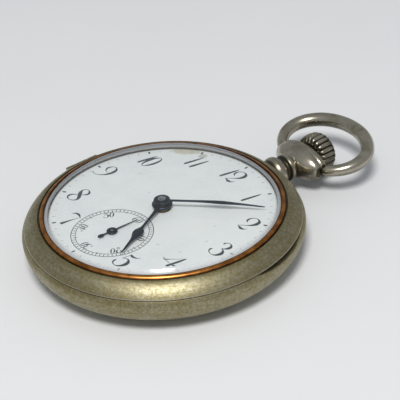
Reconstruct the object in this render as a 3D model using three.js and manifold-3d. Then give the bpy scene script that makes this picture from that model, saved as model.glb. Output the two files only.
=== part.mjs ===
// An open face, keyless, lever-escapement pocket watch lying on its back. Millimetres.
// +Z comes out of the dial, +Y points to 12 o'clock and +X to 3 o'clock. The origin is the centre
// of the flat at the middle of the back cover. Every piece is one closed solid in a mesh of its own.
import * as THREE from "three";
import { mergeVertices } from "three/addons/utils/BufferGeometryUtils.js";
import Module from "manifold-3d";

const wasm = await Module();
wasm.setup();

// ---- Driving dimensions ----
const shellSides = 32; // facets round every shell

// Case outline: a lower and an upper super-ellipse that meet at the widest point.
const caseRadius = 25.44;
const widestZ = 6.68;
const baseRadius = 13.5;
const lowerPower = 2.2;
const upperPower = 1.43;
const ringOuter = 22.25; // radius of the dark groove outside the bezel ring
const ringOuterZ = 10.13;
const ringInner = 21.16;
const ringTopZ = 10.41;
const seamZ = 7.65; // top of the band; the bezel starts a little above it
const seamGap = 0.1;
const backSeamZ = 3.05; // bottom of the band
const backRimTurn = 31.8; // degrees along the lower super-ellipse where the back cover's rim ends
const backWall = 0.55;
const dustInset = 0.85; // outer face of the dust cover, measured in from the case outline
const dustWall = 0.3;

// Pendant, crown and bow share one axis along +Y at this height.
const stemZ = 5.5;
const headHalfX = 6.15;
const headHalfZ = 3.3;
const bowAxisY = 33.4;
const bowHalfX = 9.42;
const bowHalfY = 6.98;
const bowCentre = 5.58; // from the bow's axis to the centre of its ellipse
const bowTilt = 9.7; // degrees above the dial plane, as it rests
const bowPivot = 0.72; // radius of the wire inside the head
const bowShoulder = 0.88; // and where it leaves the head
const bowMiddle = 1.36; // and at its far side
const crownFrom = 35;
const crownTo = 39.2;
const crownRadius = 3.9;
const crownFlutes = 22;

// Dial and hands.
const dialBottomZ = 8.87;
const dialTopZ = 9.67;
const dialRadius = 20.45;
const secondsY = -11.09; // centre of the small seconds, and axis of the fourth wheel
const minuteAngle = 47; // degrees clockwise from 12
const hourAngle = 154;
const secondsAngle = 3;

// Movement levels.
const plateBottomZ = 6.6;
const plateTopZ = 8.5;
const recessZ = 7.6; // floor of the hollows under the dial
const bridgeLowZ = 2.0;
const bridgeHighZ = 3.2;
const bridgeRadius = 18.3;

// Axes of the movement, x and y.
const barrelAt = [-7.794, 4.5];
const crownWheelAt = [0, 12.262];
const thirdAt = [2.157, -5.727];
const fourthAt = [0, secondsY];
const escapeAt = [5.37, -11.56];
const escapeRadius = 3.1;
const palletDirection = 40; // degrees, from the escape wheel to the pallet arbor
const palletAt = [8.112, -9.259];
const balanceAt = [9.2, -5.2];
const balanceRadius = 6.4;
const minuteWheelAt = [0, 4.32];
const settingWheelAt = [0, 9.36];
const leverPinAt = [0.8, 18.4]; // where the setting lever holds the stem's groove
const leverPivotAt = [3.3, 18.9];
const yokePinAt = [-1.35, 13.2];
const yokePivotAt = [-4.9, 12.85];
const clickPivotAt = [-13, -3.2];
const toothGap = 0.02; // each toothed edge stops this far short of its pitch circle

const pillarsOfBarrelBridge = [
  [-16.2, -3.4],
  [-9.5, 14.9],
];
const bridgePost = [6.8, 8.2];
const pillarsOfTrainBridge = [
  [-7.2, -11],
  [7.5, -16.2],
];
const cockFootAt = [15.2, 2.6];
const palletFootAt = [14.3, -11];
const caseScrewAngles = [30, 200];
const caseScrewRadius = 19.9;
const dialFootAngles = [150, 235, 345];
const dialFootRadius = 17.2;

// Finishes: colour, roughness, metalness.
const finishes = {
  nickel: [0x8f8a74, 0.34, 1],
  brightNickel: [0xb9b4a6, 0.22, 1],
  copper: [0xb06a2c, 0.32, 1],
  glass: [0xe8eef0, 0.04, 0],
  enamel: [0xf1efe8, 0.18, 0],
  blueSteel: [0x2c3a4c, 0.3, 1],
  steel: [0x9a9da0, 0.28, 1],
  gilt: [0xc49a4a, 0.42, 1],
  brass: [0xc9a655, 0.32, 1],
};

const radians = Math.PI / 180;

// ---- Solids ----

// A closed geometry as a solid for joining and cutting, turned face out if it is inside out.
function solidOf(geometry) {
  const bare = geometry.index ? geometry.toNonIndexed() : geometry.clone();
  bare.deleteAttribute("normal");
  bare.deleteAttribute("uv");
  const merged = mergeVertices(bare, 1e-4);
  const index = merged.index.array;
  const corners = [];
  for (let i = 0; i < index.length; i += 3) {
    const [a, b, c] = [index[i], index[i + 1], index[i + 2]];
    if (a !== b && b !== c && c !== a) corners.push(a, b, c);
  }
  const build = (triangles) =>
    new wasm.Manifold(
      new wasm.Mesh({
        numProp: 3,
        vertProperties: merged.attributes.position.array,
        triVerts: new Uint32Array(triangles),
      }),
    );
  const made = build(corners);
  return made.volume() < 0 ? build(corners.reverse()) : made;
}

// A solid as a geometry that three.js draws with flat facets.
function geometryOf(solid) {
  const mesh = solid.getMesh();
  const positions = new Float32Array(mesh.numVert * 3);
  for (let i = 0; i < mesh.numVert; i++) {
    positions.set(mesh.vertProperties.subarray(i * mesh.numProp, i * mesh.numProp + 3), i * 3);
  }
  const geometry = new THREE.BufferGeometry();
  geometry.setAttribute("position", new THREE.BufferAttribute(positions, 3));
  geometry.setIndex(new THREE.BufferAttribute(mesh.triVerts, 1));
  geometry.computeVertexNormals();
  return geometry;
}

const join = (first, ...rest) => rest.reduce((all, next) => all.add(next), first);
const cut = (first, ...rest) => rest.reduce((all, next) => all.subtract(next), first);

// A profile of [radius, height] points turned about Z. It closes on the axis or on itself.
function turned(profile, sides = 12, at = [0, 0]) {
  const points = profile.map(([r, z]) => new THREE.Vector2(r, z));
  const onAxis = profile[0][0] === 0 && profile[profile.length - 1][0] === 0;
  if (!onAxis) points.push(points[0].clone());
  const geometry = new THREE.LatheGeometry(points, sides);
  geometry.rotateX(Math.PI / 2);
  geometry.translate(at[0], at[1], 0);
  return solidOf(geometry);
}

// The same, turned about the stem's axis: the profile is [radius, y] points.
function turnedOnStem(profile, sides = 12, scaleX = 1, scaleZ = 1) {
  const points = profile.map(([r, y]) => new THREE.Vector2(r, y));
  const onAxis = profile[0][0] === 0 && profile[profile.length - 1][0] === 0;
  if (!onAxis) points.push(points[0].clone());
  const geometry = new THREE.LatheGeometry(points, sides);
  geometry.scale(scaleX, 1, scaleZ);
  geometry.translate(0, 0, stemZ);
  return solidOf(geometry);
}

const disc = (radius, from, to, at = [0, 0], sides = 12) =>
  turned(
    [
      [0, from],
      [radius, from],
      [radius, to],
      [0, to],
    ],
    sides,
    at,
  );

const block = ([x0, x1], [y0, y1], [z0, z1]) =>
  solidOf(
    new THREE.BoxGeometry(x1 - x0, y1 - y0, z1 - z0).translate(
      (x0 + x1) / 2,
      (y0 + y1) / 2,
      (z0 + z1) / 2,
    ),
  );

// A round bar along Y.
const barAlongY = (radius, from, to, [x, z], sides = 10) =>
  solidOf(
    new THREE.CylinderGeometry(radius, radius, to - from, sides).translate(x, (from + to) / 2, z),
  );

// An outline of [x, y] points, with any holes, raised from one level to another.
function raised(outline, from, to, holes = []) {
  const shape = new THREE.Shape(outline.map(([x, y]) => new THREE.Vector2(x, y)));
  shape.holes = holes.map((hole) => new THREE.Path(hole.map(([x, y]) => new THREE.Vector2(x, y))));
  const options = { depth: to - from, bevelEnabled: false, steps: 1 };
  return new THREE.ExtrudeGeometry(shape, options).translate(0, 0, from);
}

const polar = (radius, degrees, [x, y] = [0, 0]) => [
  x + radius * Math.cos(degrees * radians),
  y + radius * Math.sin(degrees * radians),
];

const arc = (radius, from, to, count, centre) =>
  Array.from({ length: count + 1 }, (_, i) =>
    polar(radius, from + ((to - from) * i) / count, centre),
  );

// A strap with round ends of two radii, from one [x, y] to another.
function strap(start, end, startRadius, endRadius, steps = 4) {
  const along = Math.atan2(end[1] - start[1], end[0] - start[0]) / radians;
  return [
    ...arc(startRadius, along + 90, along + 270, steps, start),
    ...arc(endRadius, along - 90, along + 90, steps, end),
  ];
}

// A toothed outline. cuts gives each tooth's points as [share of a pitch, 1 at the tip or 0 at the root].
function toothed(teeth, tip, root, cuts, phase = 0) {
  const outline = [];
  for (let i = 0; i < teeth; i++) {
    for (const [share, high] of cuts) {
      outline.push(polar(high ? tip : root, phase + ((i + share) * 360) / teeth));
    }
  }
  return outline;
}

const plainTooth = [
  [0, 0],
  [0.3, 1],
  [0.7, 1],
];
const fineTooth = [
  [0, 0],
  [0.5, 1],
];
const escapeTooth = [
  [0, 0],
  [0.55, 0],
  [0.72, 1],
];

// The windows between a wheel's arms.
function windows(arms, inner, outer, armWidth) {
  const list = [];
  for (let i = 0; i < arms; i++) {
    const middle = (360 * (i + 0.5)) / arms;
    const reach = 180 / arms;
    const outerHalf = reach - Math.asin(armWidth / 2 / outer) / radians;
    const innerHalf = reach - Math.asin(armWidth / 2 / inner) / radians;
    list.push([
      ...arc(outer, middle - outerHalf, middle + outerHalf, 3),
      ...arc(inner, middle + innerHalf, middle - innerHalf, 1),
    ]);
  }
  return list;
}

// A toothed wheel on the Z axis: pitch radius, levels, window sizes and bore.
function wheel({ teeth, pitch, depth, from, to, bore, arms = 0, rim = 0, hub = 0, armWidth = 0 }) {
  const outline = toothed(teeth, pitch - toothGap, pitch - toothGap - depth, fineTooth);
  const holes = arms ? windows(arms, hub, pitch - depth - rim, armWidth) : [];
  const plate = solidOf(raised(outline, from, to, holes));
  return bore ? cut(plate, disc(bore, from - 1, to + 1, [0, 0], 12)) : plate;
}

// A flat spiral strip from one radius to another.
function spiral(innerRadius, outerRadius, turns, thickness, from, to, perTurn) {
  const steps = Math.round(turns * perTurn);
  const side = (offset) =>
    Array.from({ length: steps + 1 }, (_, i) =>
      polar(
        innerRadius + ((outerRadius - innerRadius) * i) / steps + offset,
        (360 * turns * i) / steps,
      ),
    );
  const outline = [...side(-thickness / 2), ...side(thickness / 2).reverse()];
  return solidOf(raised(outline, from, to));
}

// A closed skin over rings of points that share one count, with flat ends.
function skinned(rings) {
  const count = rings[0].length;
  const points = [...rings.flat()];
  const first = points.push(centreOf(rings[0])) - 1;
  const last = points.push(centreOf(rings[rings.length - 1])) - 1;
  const index = [];
  for (let i = 0; i < count; i++) {
    const j = (i + 1) % count;
    index.push(first, j, i);
    for (let k = 0; k + 1 < rings.length; k++) {
      const [a, b, c, d] = [k * count + i, k * count + j, (k + 1) * count + i, (k + 1) * count + j];
      index.push(a, b, d, a, d, c);
    }
    const base = (rings.length - 1) * count;
    index.push(last, base + i, base + j);
  }
  const geometry = new THREE.BufferGeometry();
  geometry.setAttribute("position", new THREE.Float32BufferAttribute(points.flat(), 3));
  geometry.setIndex(index);
  return solidOf(geometry);
}

const centreOf = (ring) =>
  [0, 1, 2].map((axis) => ring.reduce((sum, point) => sum + point[axis], 0) / ring.length);

const root = new THREE.Group();

// Adds a named piece to a group, with a finish of its own.
function addPiece(group, name, solid, finish) {
  const [color, roughness, metalness] = finishes[finish];
  const material = new THREE.MeshStandardMaterial({ color, roughness, metalness });
  const mesh = new THREE.Mesh(geometryOf(solid), material);
  mesh.name = name;
  group.add(mesh);
  return mesh;
}

// A group standing on an axis of the movement.
function groupAt([x, y], turn = 0) {
  const group = new THREE.Group();
  group.position.set(x, y, 0);
  group.rotation.z = turn * radians;
  root.add(group);
  return group;
}

// ---- Case outline ----

// A point of the lower outline at a turn of 0 (widest) to 90 degrees (base), moved in by an inset.
function lowerPoint(turn, inset = 0) {
  const power = 2 / lowerPower;
  const [c, s] = [Math.cos(turn * radians), Math.sin(turn * radians)];
  const width = caseRadius - baseRadius;
  const r = baseRadius + width * Math.max(c, 0) ** power;
  const z = widestZ - widestZ * s ** power;
  const normalR = Math.max(c, 0) ** (2 - power) / width;
  const normalZ = -(s ** (2 - power)) / widestZ;
  const length = Math.hypot(normalR, normalZ);
  return [r - (inset * normalR) / length, z - (inset * normalZ) / length];
}

function lowerArc(fromTurn, toTurn, steps, inset) {
  return Array.from({ length: steps + 1 }, (_, i) =>
    lowerPoint(fromTurn + ((toTurn - fromTurn) * i) / steps, inset),
  );
}

const lowerRadius = (z) =>
  baseRadius +
  (caseRadius - baseRadius) * (1 - ((widestZ - z) / widestZ) ** lowerPower) ** (1 / lowerPower);

const upperRadius = (z) =>
  ringOuter +
  (caseRadius - ringOuter) *
    (1 - ((z - widestZ) / (ringOuterZ - widestZ)) ** upperPower) ** (1 / upperPower);

// ---- Case ----

const bezelHinge = { x: -25.35, z: 7.7, radius: 0.75, bore: 0.42, pin: 0.3 };
const backHinge = { x: -24.2, z: 3, radius: 0.7, bore: 0.42, pin: 0.3 };
const hingeHalf = 3.4; // half the length of each hinge
const knuckleClearance = 0.2;

const hingeBar = (hinge, radius, from, to) => barAlongY(radius, from, to, [hinge.x, hinge.z]);

// The crescent under the bezel's edge where a fingernail opens it, deepest at its middle.
const nailNotch = { angle: 19.5, half: 17, depth: 0.6, inner: 23.4, outer: 26, over: 0.05 };

function nailCut() {
  const steps = 8;
  const rings = Array.from({ length: steps + 1 }, (_, i) => {
    const share = (2 * i) / steps - 1;
    const [x, y] = polar(1, nailNotch.angle + nailNotch.half * share);
    const floor = seamZ - nailNotch.over - nailNotch.depth * (1 - share * share);
    const top = seamZ + nailNotch.over;
    return [
      [nailNotch.inner, floor],
      [nailNotch.outer, floor],
      [nailNotch.outer, top],
      [nailNotch.inner, top],
    ].map(([r, z]) => [r * x, r * y, z]);
  });
  return skinned(rings);
}

function caseBand() {
  const shell = turned(
    [
      [22, backSeamZ],
      ...[backSeamZ, 4.6, widestZ].map((z) => [lowerRadius(z), z]),
      [upperRadius(seamZ), seamZ],
      [23.3, seamZ],
      [23.3, 8.5],
      [21.3, 8.5],
      [21.3, 7.95],
      [20.5, 7.95],
      [20.5, 6.75],
      [22, 6.75],
    ],
    shellSides,
  );
  const roomForBezel = hingeBar(bezelHinge, bezelHinge.radius + knuckleClearance, -1.3, 1.3);
  const roomForBack = hingeBar(backHinge, backHinge.radius + knuckleClearance, -2.3, 2.3);
  const ends = [-1, 1].flatMap((side) => [
    hingeBar(bezelHinge, bezelHinge.radius, ...ordered(side * 1.4, side * hingeHalf)),
    hingeBar(backHinge, backHinge.radius, ...ordered(side * 2.4, side * hingeHalf)),
  ]);
  return cut(
    join(cut(shell, roomForBezel, roomForBack), ...ends),
    hingeBar(bezelHinge, bezelHinge.bore, -5, 5),
    hingeBar(backHinge, backHinge.bore, -5, 5),
    barAlongY(1.1, 18, 28, [0, stemZ]),
    nailCut(),
  );
}

const ordered = (a, b) => (a < b ? [a, b] : [b, a]);

function bezel() {
  const low = seamZ + seamGap;
  const shell = turned(
    [
      [23.5, low],
      ...[low, 8.6, 9.5].map((z) => [upperRadius(z), z]),
      [ringOuter, ringOuterZ],
      [ringOuter, 9.85],
      [20.8, 9.85],
      [20.8, 9.2],
      [21.6, 8.65],
      [23.5, 8.65],
    ],
    shellSides,
  );
  const clear = bezelHinge.radius + knuckleClearance;
  return cut(
    join(
      cut(shell, hingeBar(bezelHinge, clear, -3.6, -1.2), hingeBar(bezelHinge, clear, 1.2, 3.6)),
      hingeBar(bezelHinge, bezelHinge.radius, -1.1, 1.1),
    ),
    hingeBar(bezelHinge, bezelHinge.bore, -5, 5),
  );
}

function bezelRing() {
  return turned(
    [
      [ringInner, 9.9],
      [22.2, 9.9],
      [22.2, ringOuterZ],
      [21.75, 10.34],
      [ringInner, ringTopZ],
    ],
    shellSides,
  );
}

function crystal() {
  return turned(
    [
      [0, 12.05],
      [9, 11.87],
      [17, 11.22],
      [19.8, 10.65],
      [20.5, 9.9],
      [21.1, 9.9],
      [21.1, 10.25],
      [19.8, 11.22],
      [17, 11.75],
      [9, 12.38],
      [0, 12.56],
    ],
    shellSides,
  );
}

function backCover() {
  const rim = lowerPoint(backRimTurn);
  const shell = turned(
    [
      [0, 0],
      ...lowerArc(90, backRimTurn, 4, 0),
      [rim[0] - 0.8, rim[1]],
      ...lowerArc(36, 90, 3, backWall),
      [0, backWall],
    ],
    shellSides,
  );
  const clear = backHinge.radius + knuckleClearance;
  return cut(
    join(
      cut(
        shell,
        hingeBar(backHinge, clear, -3.6, -0.05),
        hingeBar(backHinge, clear, 2.25, 3.6),
        block([-26, -22], [-2.35, 0], [2.2, 3.2]),
      ),
      hingeBar(backHinge, backHinge.radius, 0.1, 2.1),
    ),
    hingeBar(backHinge, backHinge.bore, -5, 5),
  );
}

function dustCover() {
  const shell = turned(
    [
      [0, dustInset],
      ...lowerArc(90, 42, 3, dustInset),
      ...lowerArc(45, 90, 3, dustInset + dustWall),
      [0, dustInset + dustWall],
    ],
    shellSides,
  );
  const arm = block([-24.2, -21.9], [-2.1, -0.2], [2.45, 2.85]);
  const tongue = cut(arm, hingeBar(backHinge, backHinge.bore, -5, 5));
  return cut(
    join(shell, tongue, hingeBar(backHinge, backHinge.radius, -2.1, -0.2)),
    hingeBar(backHinge, backHinge.bore, -5, 5),
  );
}

function pendant() {
  const neck = turnedOnStem(
    [
      [1.3, 24.2],
      [3.1, 24.2],
      [3.1, 26.4],
      [2.95, 27.3],
      [2.5, 27.9],
      [2.5, 28.6],
      [2.65, 29.3],
      [2.5, 29.9],
      [2.7, 30.6],
      [1.3, 31],
    ],
    18,
  );
  const head = turnedOnStem(
    [
      [0, 30.1],
      [0.66, 30.1],
      [0.86, 30.9],
      [0.96, 31.8],
      [1, 32.8],
      [0.96, 33.8],
      [0.8, 34.4],
      [0, 34.4],
    ],
    20,
    headHalfX,
    headHalfZ,
  );
  const bodyRoom = turned(
    [
      [0, 0],
      ...[2, 3.5, 5, widestZ].map((z) => [lowerRadius(z) + 0.1, z]),
      [upperRadius(8.6) + 0.2, 8.6],
      [0, 8.6],
    ],
    shellSides,
  );
  const sockets = [-1, 1].map((side) =>
    solidOf(
      new THREE.CylinderGeometry(1.15, 1.15, 2, 16)
        .rotateZ(Math.PI / 2)
        .translate(side * 5.75, bowAxisY, stemZ),
    ),
  );
  const ends = [-1, 1].map((side) =>
    block(ordered(side * 5.7, side * 8), [28, 36], [stemZ - 5, stemZ + 5]),
  );
  return cut(join(neck, head), barAlongY(1.3, 22, 36, [0, stemZ], 16), bodyRoom, ...sockets, ...ends);
}

// The bow: most of an ellipse, its wire thinning to two pivots that point inwards along X.
function bow() {
  const open = Math.acos(bowCentre / bowHalfY) / radians; // where the ellipse meets its own axis
  const route = [[4.95, 0]];
  const steps = 18;
  for (let i = 0; i <= steps; i++) {
    const turn = (open + ((360 - 2 * open) * i) / steps) * radians;
    route.push([bowHalfX * Math.sin(turn), bowCentre - bowHalfY * Math.cos(turn)]);
  }
  route.push([-4.95, 0]);
  const tilt = bowTilt * radians;
  const sides = 8;
  const rings = route.map(([x, y], i) => {
    const before = route[Math.max(i - 1, 0)];
    const after = route[Math.min(i + 1, route.length - 1)];
    const atEnd = i === 0 || i === route.length - 1;
    const along = atEnd ? [i === 0 ? 1 : -1, 0] : [after[0] - before[0], after[1] - before[1]];
    const length = Math.hypot(...along);
    const out = [-along[1] / length, along[0] / length];
    const share = Math.abs(i / (route.length - 1) - 0.5) * 2;
    const radius = atEnd ? bowPivot : bowShoulder + (bowMiddle - bowShoulder) * (1 - share ** 3);
    return Array.from({ length: sides }, (_, k) => {
      const around = (2 * Math.PI * k) / sides;
      const u = radius * Math.cos(around);
      const w = radius * Math.sin(around);
      const flatY = y + out[1] * u;
      return [
        x + out[0] * u,
        bowAxisY + flatY * Math.cos(tilt) - w * Math.sin(tilt),
        stemZ + flatY * Math.sin(tilt) + w * Math.cos(tilt),
      ];
    });
  });
  return skinned(rings);
}

function crown() {
  const profile = [
    [3.05, crownFrom],
    [3.6, crownFrom + 0.3],
    [crownRadius, crownFrom + 1.7],
    [3.75, crownFrom + 2.9],
    [3.3, crownFrom + 3.8],
    [2.7, crownTo],
  ];
  const rings = profile.map(([radius, y]) =>
    Array.from({ length: crownFlutes * 2 }, (_, k) => {
      const around = (Math.PI * k) / crownFlutes;
      const depth = k % 2 ? 0.28 * Math.min(1, radius / crownRadius) : 0;
      return [(radius - depth) * Math.cos(around), y, stemZ - (radius - depth) * Math.sin(around)];
    }),
  );
  return cut(skinned(rings), barAlongY(0.85, crownFrom - 1, 38.4, [0, stemZ], 12));
}

function windingStem() {
  return turnedOnStem(
    [
      [0, 10.4],
      [0.35, 10.4],
      [0.35, 11.2],
      [0.5, 11.2],
      [0.5, 18],
      [0.35, 18.05],
      [0.35, 18.75],
      [0.6, 18.8],
      [0.6, 38.2],
      [0, 38.2],
    ],
    12,
  );
}

// ---- Plates and bridges ----

const allPillars = [...pillarsOfBarrelBridge, bridgePost, ...pillarsOfTrainBridge, cockFootAt];

function mainPlate() {
  const plate = turned(
    [
      [0, plateBottomZ],
      [20.2, plateBottomZ],
      [20.2, 8],
      [21, 8],
      [21, plateTopZ],
      [0, plateTopZ],
    ],
    shellSides,
  );
  const stemBlock = cut(
    block([-3.6, 3.6], [10.2, 19.3], [3.95, plateBottomZ]),
    disc(8.7, 3, 6.2, barrelAt, 24),
    block([-1.8, 1.8], [11.1, 17.8], [3, 7]),
  );
  const settingFloor = block([-2.8, 2.8], [7, 11.1], [6.1, plateBottomZ + 0.2]);
  const stemCavity = block([-1.8, 1.8], [11.1, 17.8], [3, 7.25]);
  const above = plateTopZ + 1;
  return cut(
    join(plate, stemBlock, settingFloor),
    stemCavity,
    barAlongY(0.8, 9.8, 22, [0, stemZ], 12),
    disc(4.1, recessZ, above, [0, 0], 18),
    disc(3.8, recessZ, above, minuteWheelAt, 18),
    cut(disc(2.2, 6.65, above, settingWheelAt, 14), disc(0.5, 6, 8.2, settingWheelAt, 12)),
    block([-6.3, 5.2], [11.6, 19.55], [recessZ, above]),
    block([-0.3, 3.1], [19, 20.1], [recessZ, above]),
    block([-2, -0.6], [12, 14], [7, 8]),
    block([0.3, 1.4], [17.2, 19.8], [5, 8]),
    disc(0.9, 6, 9, [0, 0], 12),
    disc(0.5, 6, 9, fourthAt, 10),
    ...[thirdAt, escapeAt, palletAt, balanceAt].map((at) => disc(0.3, 6, 7.4, at, 8)),
    ...allPillars.map((at) => disc(0.6, 6, 7.5, at, 8)),
    disc(0.6, 6, 7.5, palletFootAt, 8),
    ...caseScrewAngles.map((angle) => disc(0.6, 6, 7.6, polar(caseScrewRadius, angle), 8)),
    ...dialFootAngles.map((angle) => disc(0.7, 7.2, above, polar(dialFootRadius, angle), 8)),
    disc(0.3, 6, 7.4, barrelAt, 8),
  );
}

// A bridge: its outline kept inside the movement's edge, with pillars, screw holes and pivot holes.
function bridge(outline, pillars, pivots, extraCuts = []) {
  const sheet = solidOf(raised(outline, bridgeLowZ, bridgeHighZ));
  const edge = disc(bridgeRadius, 1, 8, [0, 0], shellSides);
  const posts = pillars.map((at) => disc(1.3, bridgeHighZ - 0.1, plateBottomZ - 0.03, at, 10));
  return cut(
    join(sheet.intersect(edge), ...posts),
    ...pillars.map((at) => disc(0.6, 1, 8, at, 8)),
    ...pillars.map((at) => disc(1.1, 1, 2.45, at, 10)),
    ...pivots.map((at) => disc(0.35, 1, 3.5, at, 8)),
    ...extraCuts,
  );
}

const balanceRoom = () => disc(balanceRadius + 0.4, 1, 8, balanceAt, 24);

function barrelBridge() {
  const outline = [
    [3.4, -2.6],
    [9.3, 9],
    [4.5, 18.5],
    [-8, 18],
    [-18.5, 7],
    [-18.8, -4],
    [-16.5, -7.6],
  ];
  const ratchetHole = disc(1.6, 1, 3.5, barrelAt, 16);
  const crownWheelHole = disc(3.4, 1, 3.5, crownWheelAt, 16);
  const posts = [...pillarsOfBarrelBridge, bridgePost];
  const clickHole = disc(0.45, 1, 2.8, clickPivotAt, 8);
  return bridge(outline, posts, [[0, 0]], [ratchetHole, crownWheelHole, clickHole, balanceRoom()]);
}

function trainBridge() {
  const outline = [
    [4.4, -2.75],
    [-9.4, -6.2],
    [-10.4, -12.5],
    [-3, -18.5],
    [6, -18.5],
    [10, -16.5],
    [9, -12],
  ];
  return bridge(outline, pillarsOfTrainBridge, [thirdAt, fourthAt, escapeAt], [balanceRoom()]);
}

function balanceCock() {
  return bridge(strap(balanceAt, cockFootAt, 2, 2.3, 8), [cockFootAt], [balanceAt]);
}

function palletBridge() {
  const arm = solidOf(raised(strap(palletAt, palletFootAt, 0.9, 1.2), 4.55, 4.95));
  const foot = disc(1.2, 4.9, plateBottomZ - 0.03, palletFootAt, 12);
  return cut(join(arm, foot), disc(0.2, 4, 5.2, palletAt, 8), disc(0.55, 4, 8, palletFootAt, 8));
}

// A cheese-head screw pointing +Z, with a slot across its head.
function screw(at, headRadius, headFrom, headTo, shank, tip) {
  const body = turned(
    [
      [0, headFrom],
      [headRadius, headFrom],
      [headRadius, headTo],
      [shank, headTo],
      [shank, tip],
      [0, tip],
    ],
    8,
  );
  const slot = block([-2, 2], [-0.1, 0.1], [headFrom - 1, headFrom + 0.14]);
  const group = groupAt(at, 25);
  return [group, cut(body, slot)];
}

// ---- Power ----

const barrelPitch = 8;

function barrelDrum() {
  const drum = turned(
    [
      [7.6, 3.7],
      [7.6, 5.9],
      [0.8, 5.9],
      [0.8, 5.6],
      [7.2, 5.6],
      [7.2, 3.7],
    ],
    24,
  );
  const rim = wheel({ teeth: 80, pitch: barrelPitch, depth: 0.3, from: 5, to: 5.6, bore: 0 });
  return join(drum, cut(rim, disc(7.4, 4, 7, [0, 0], 24)));
}

const barrelCover = () =>
  turned(
    [
      [0.8, 3.4],
      [7.55, 3.4],
      [7.55, 3.65],
      [0.8, 3.65],
    ],
    24,
  );

const barrelArbor = () =>
  turned(
    [
      [0, 2.05],
      [1.2, 2.05],
      [1.2, 3.25],
      [0.6, 3.25],
      [0.6, 3.9],
      [1.1, 3.9],
      [1.1, 5.4],
      [0.6, 5.4],
      [0.6, 6.2],
      [0.2, 6.2],
      [0.2, 7.2],
      [0, 7.2],
    ],
    14,
  );

const winding = { module: 0.25, ratchetTeeth: 58, crownTeeth: 30, from: 1.45, to: 1.95 };

function windingWheel(teeth, bore) {
  const pitch = (winding.module * teeth) / 2;
  const outline = toothed(teeth, pitch - toothGap, pitch - 0.35, fineTooth);
  const plate = solidOf(raised(outline, winding.from, winding.to));
  return bore ? cut(plate, disc(bore, 1, 2.5, [0, 0], 12)) : plate;
}

function crownWheel() {
  const hub = disc(2.2, winding.to - 0.1, 3.5, [0, 0], 16);
  const drive = solidOf(raised(toothed(24, 3, 2.6, plainTooth), 3.4, 3.75));
  return cut(join(windingWheel(winding.crownTeeth, 0), hub, drive), disc(1.2, 1, 5, [0, 0], 12));
}

// ---- Train ----

const pinionOutline = (leaves, pitch) =>
  toothed(leaves, pitch - toothGap, pitch * 0.62, plainTooth);

// An arbor with a leafed pinion between two levels.
function arborWithPinion({ leaves, pitch, from, to, profile, sides = 10 }) {
  return join(turned(profile, sides), solidOf(raised(pinionOutline(leaves, pitch), from, to)));
}

const centreArbor = () =>
  arborWithPinion({
    leaves: 10,
    pitch: 1,
    from: 4.9,
    to: 5.8,
    profile: [
      [0, 2.2],
      [0.22, 2.2],
      [0.22, 3.35],
      [0.45, 3.35],
      [0.45, 6.5],
      [0.35, 6.5],
      [0.35, 11.86],
      [0, 11.86],
    ],
    sides: 12,
  });

const thirdPinion = () =>
  arborWithPinion({
    leaves: 8,
    pitch: 0.68,
    from: 6,
    to: 6.5,
    profile: [
      [0, 2.4],
      [0.18, 2.4],
      [0.18, 3.4],
      [0.32, 3.4],
      [0.32, 6.55],
      [0.16, 6.55],
      [0.16, 7.2],
      [0, 7.2],
    ],
  });

const fourthPinion = () =>
  arborWithPinion({
    leaves: 8,
    pitch: 0.68,
    from: 4.4,
    to: 5.05,
    profile: [
      [0, 2.4],
      [0.18, 2.4],
      [0.18, 3.4],
      [0.3, 3.4],
      [0.3, 6.5],
      [0.22, 6.5],
      [0.22, 10.22],
      [0, 10.22],
    ],
  });

const escapePinion = () =>
  arborWithPinion({
    leaves: 7,
    pitch: 0.49,
    from: 5.5,
    to: 6.05,
    profile: [
      [0, 2.4],
      [0.18, 2.4],
      [0.18, 3.4],
      [0.26, 3.4],
      [0.26, 6.5],
      [0.16, 6.5],
      [0.16, 7.2],
      [0, 7.2],
    ],
    sides: 8,
  });

function escapeWheel() {
  const phase = palletDirection - 30 + 6 - 0.72 * 24; // puts a tip 6 degrees past a pallet stone
  const outline = toothed(15, escapeRadius, 2.45, escapeTooth, phase);
  const holes = windows(4, 0.75, 2.1, 0.35);
  return cut(solidOf(raised(outline, 5.1, 5.35, holes)), disc(0.34, 4, 6, [0, 0], 8));
}

const stoneHalfWidth = 0.17;

// The pallet fork with its two stones, in a frame centred on its arbor.
function palletFork() {
  const escape = [escapeAt[0] - palletAt[0], escapeAt[1] - palletAt[1]];
  const toBalance = [balanceAt[0] - palletAt[0], balanceAt[1] - palletAt[1]];
  const leverAngle = Math.atan2(toBalance[1], toBalance[0]) / radians;
  const leverEnd = polar(3.3, leverAngle);
  const pieces = [disc(0.5, 5.05, 5.4, [0, 0], 12), disc(0.18, 4.3, 7.2, [0, 0], 8)];
  for (const side of [-1, 1]) {
    const direction = palletDirection + side * 30;
    const seat = polar(escapeRadius + 0.8, direction, escape);
    pieces.push(solidOf(raised(strap([0, 0], seat, 0.32, 0.28, 4), 5.1, 5.35)));
    const stone = new THREE.BoxGeometry(0.95, stoneHalfWidth * 2, 0.36);
    stone.translate(escapeRadius + 0.06 + 0.475, 0, 5.225).rotateZ(direction * radians);
    pieces.push(solidOf(stone.translate(escape[0], escape[1], 0)));
  }
  pieces.push(solidOf(raised(strap([0, 0], leverEnd, 0.35, 0.5, 4), 5.1, 5.35)));
  const notch = new THREE.BoxGeometry(0.7, 0.36, 1).translate(3.65, 0, 5.2);
  return cut(join(...pieces), solidOf(notch.rotateZ(leverAngle * radians)));
}

// ---- Balance ----

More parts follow.
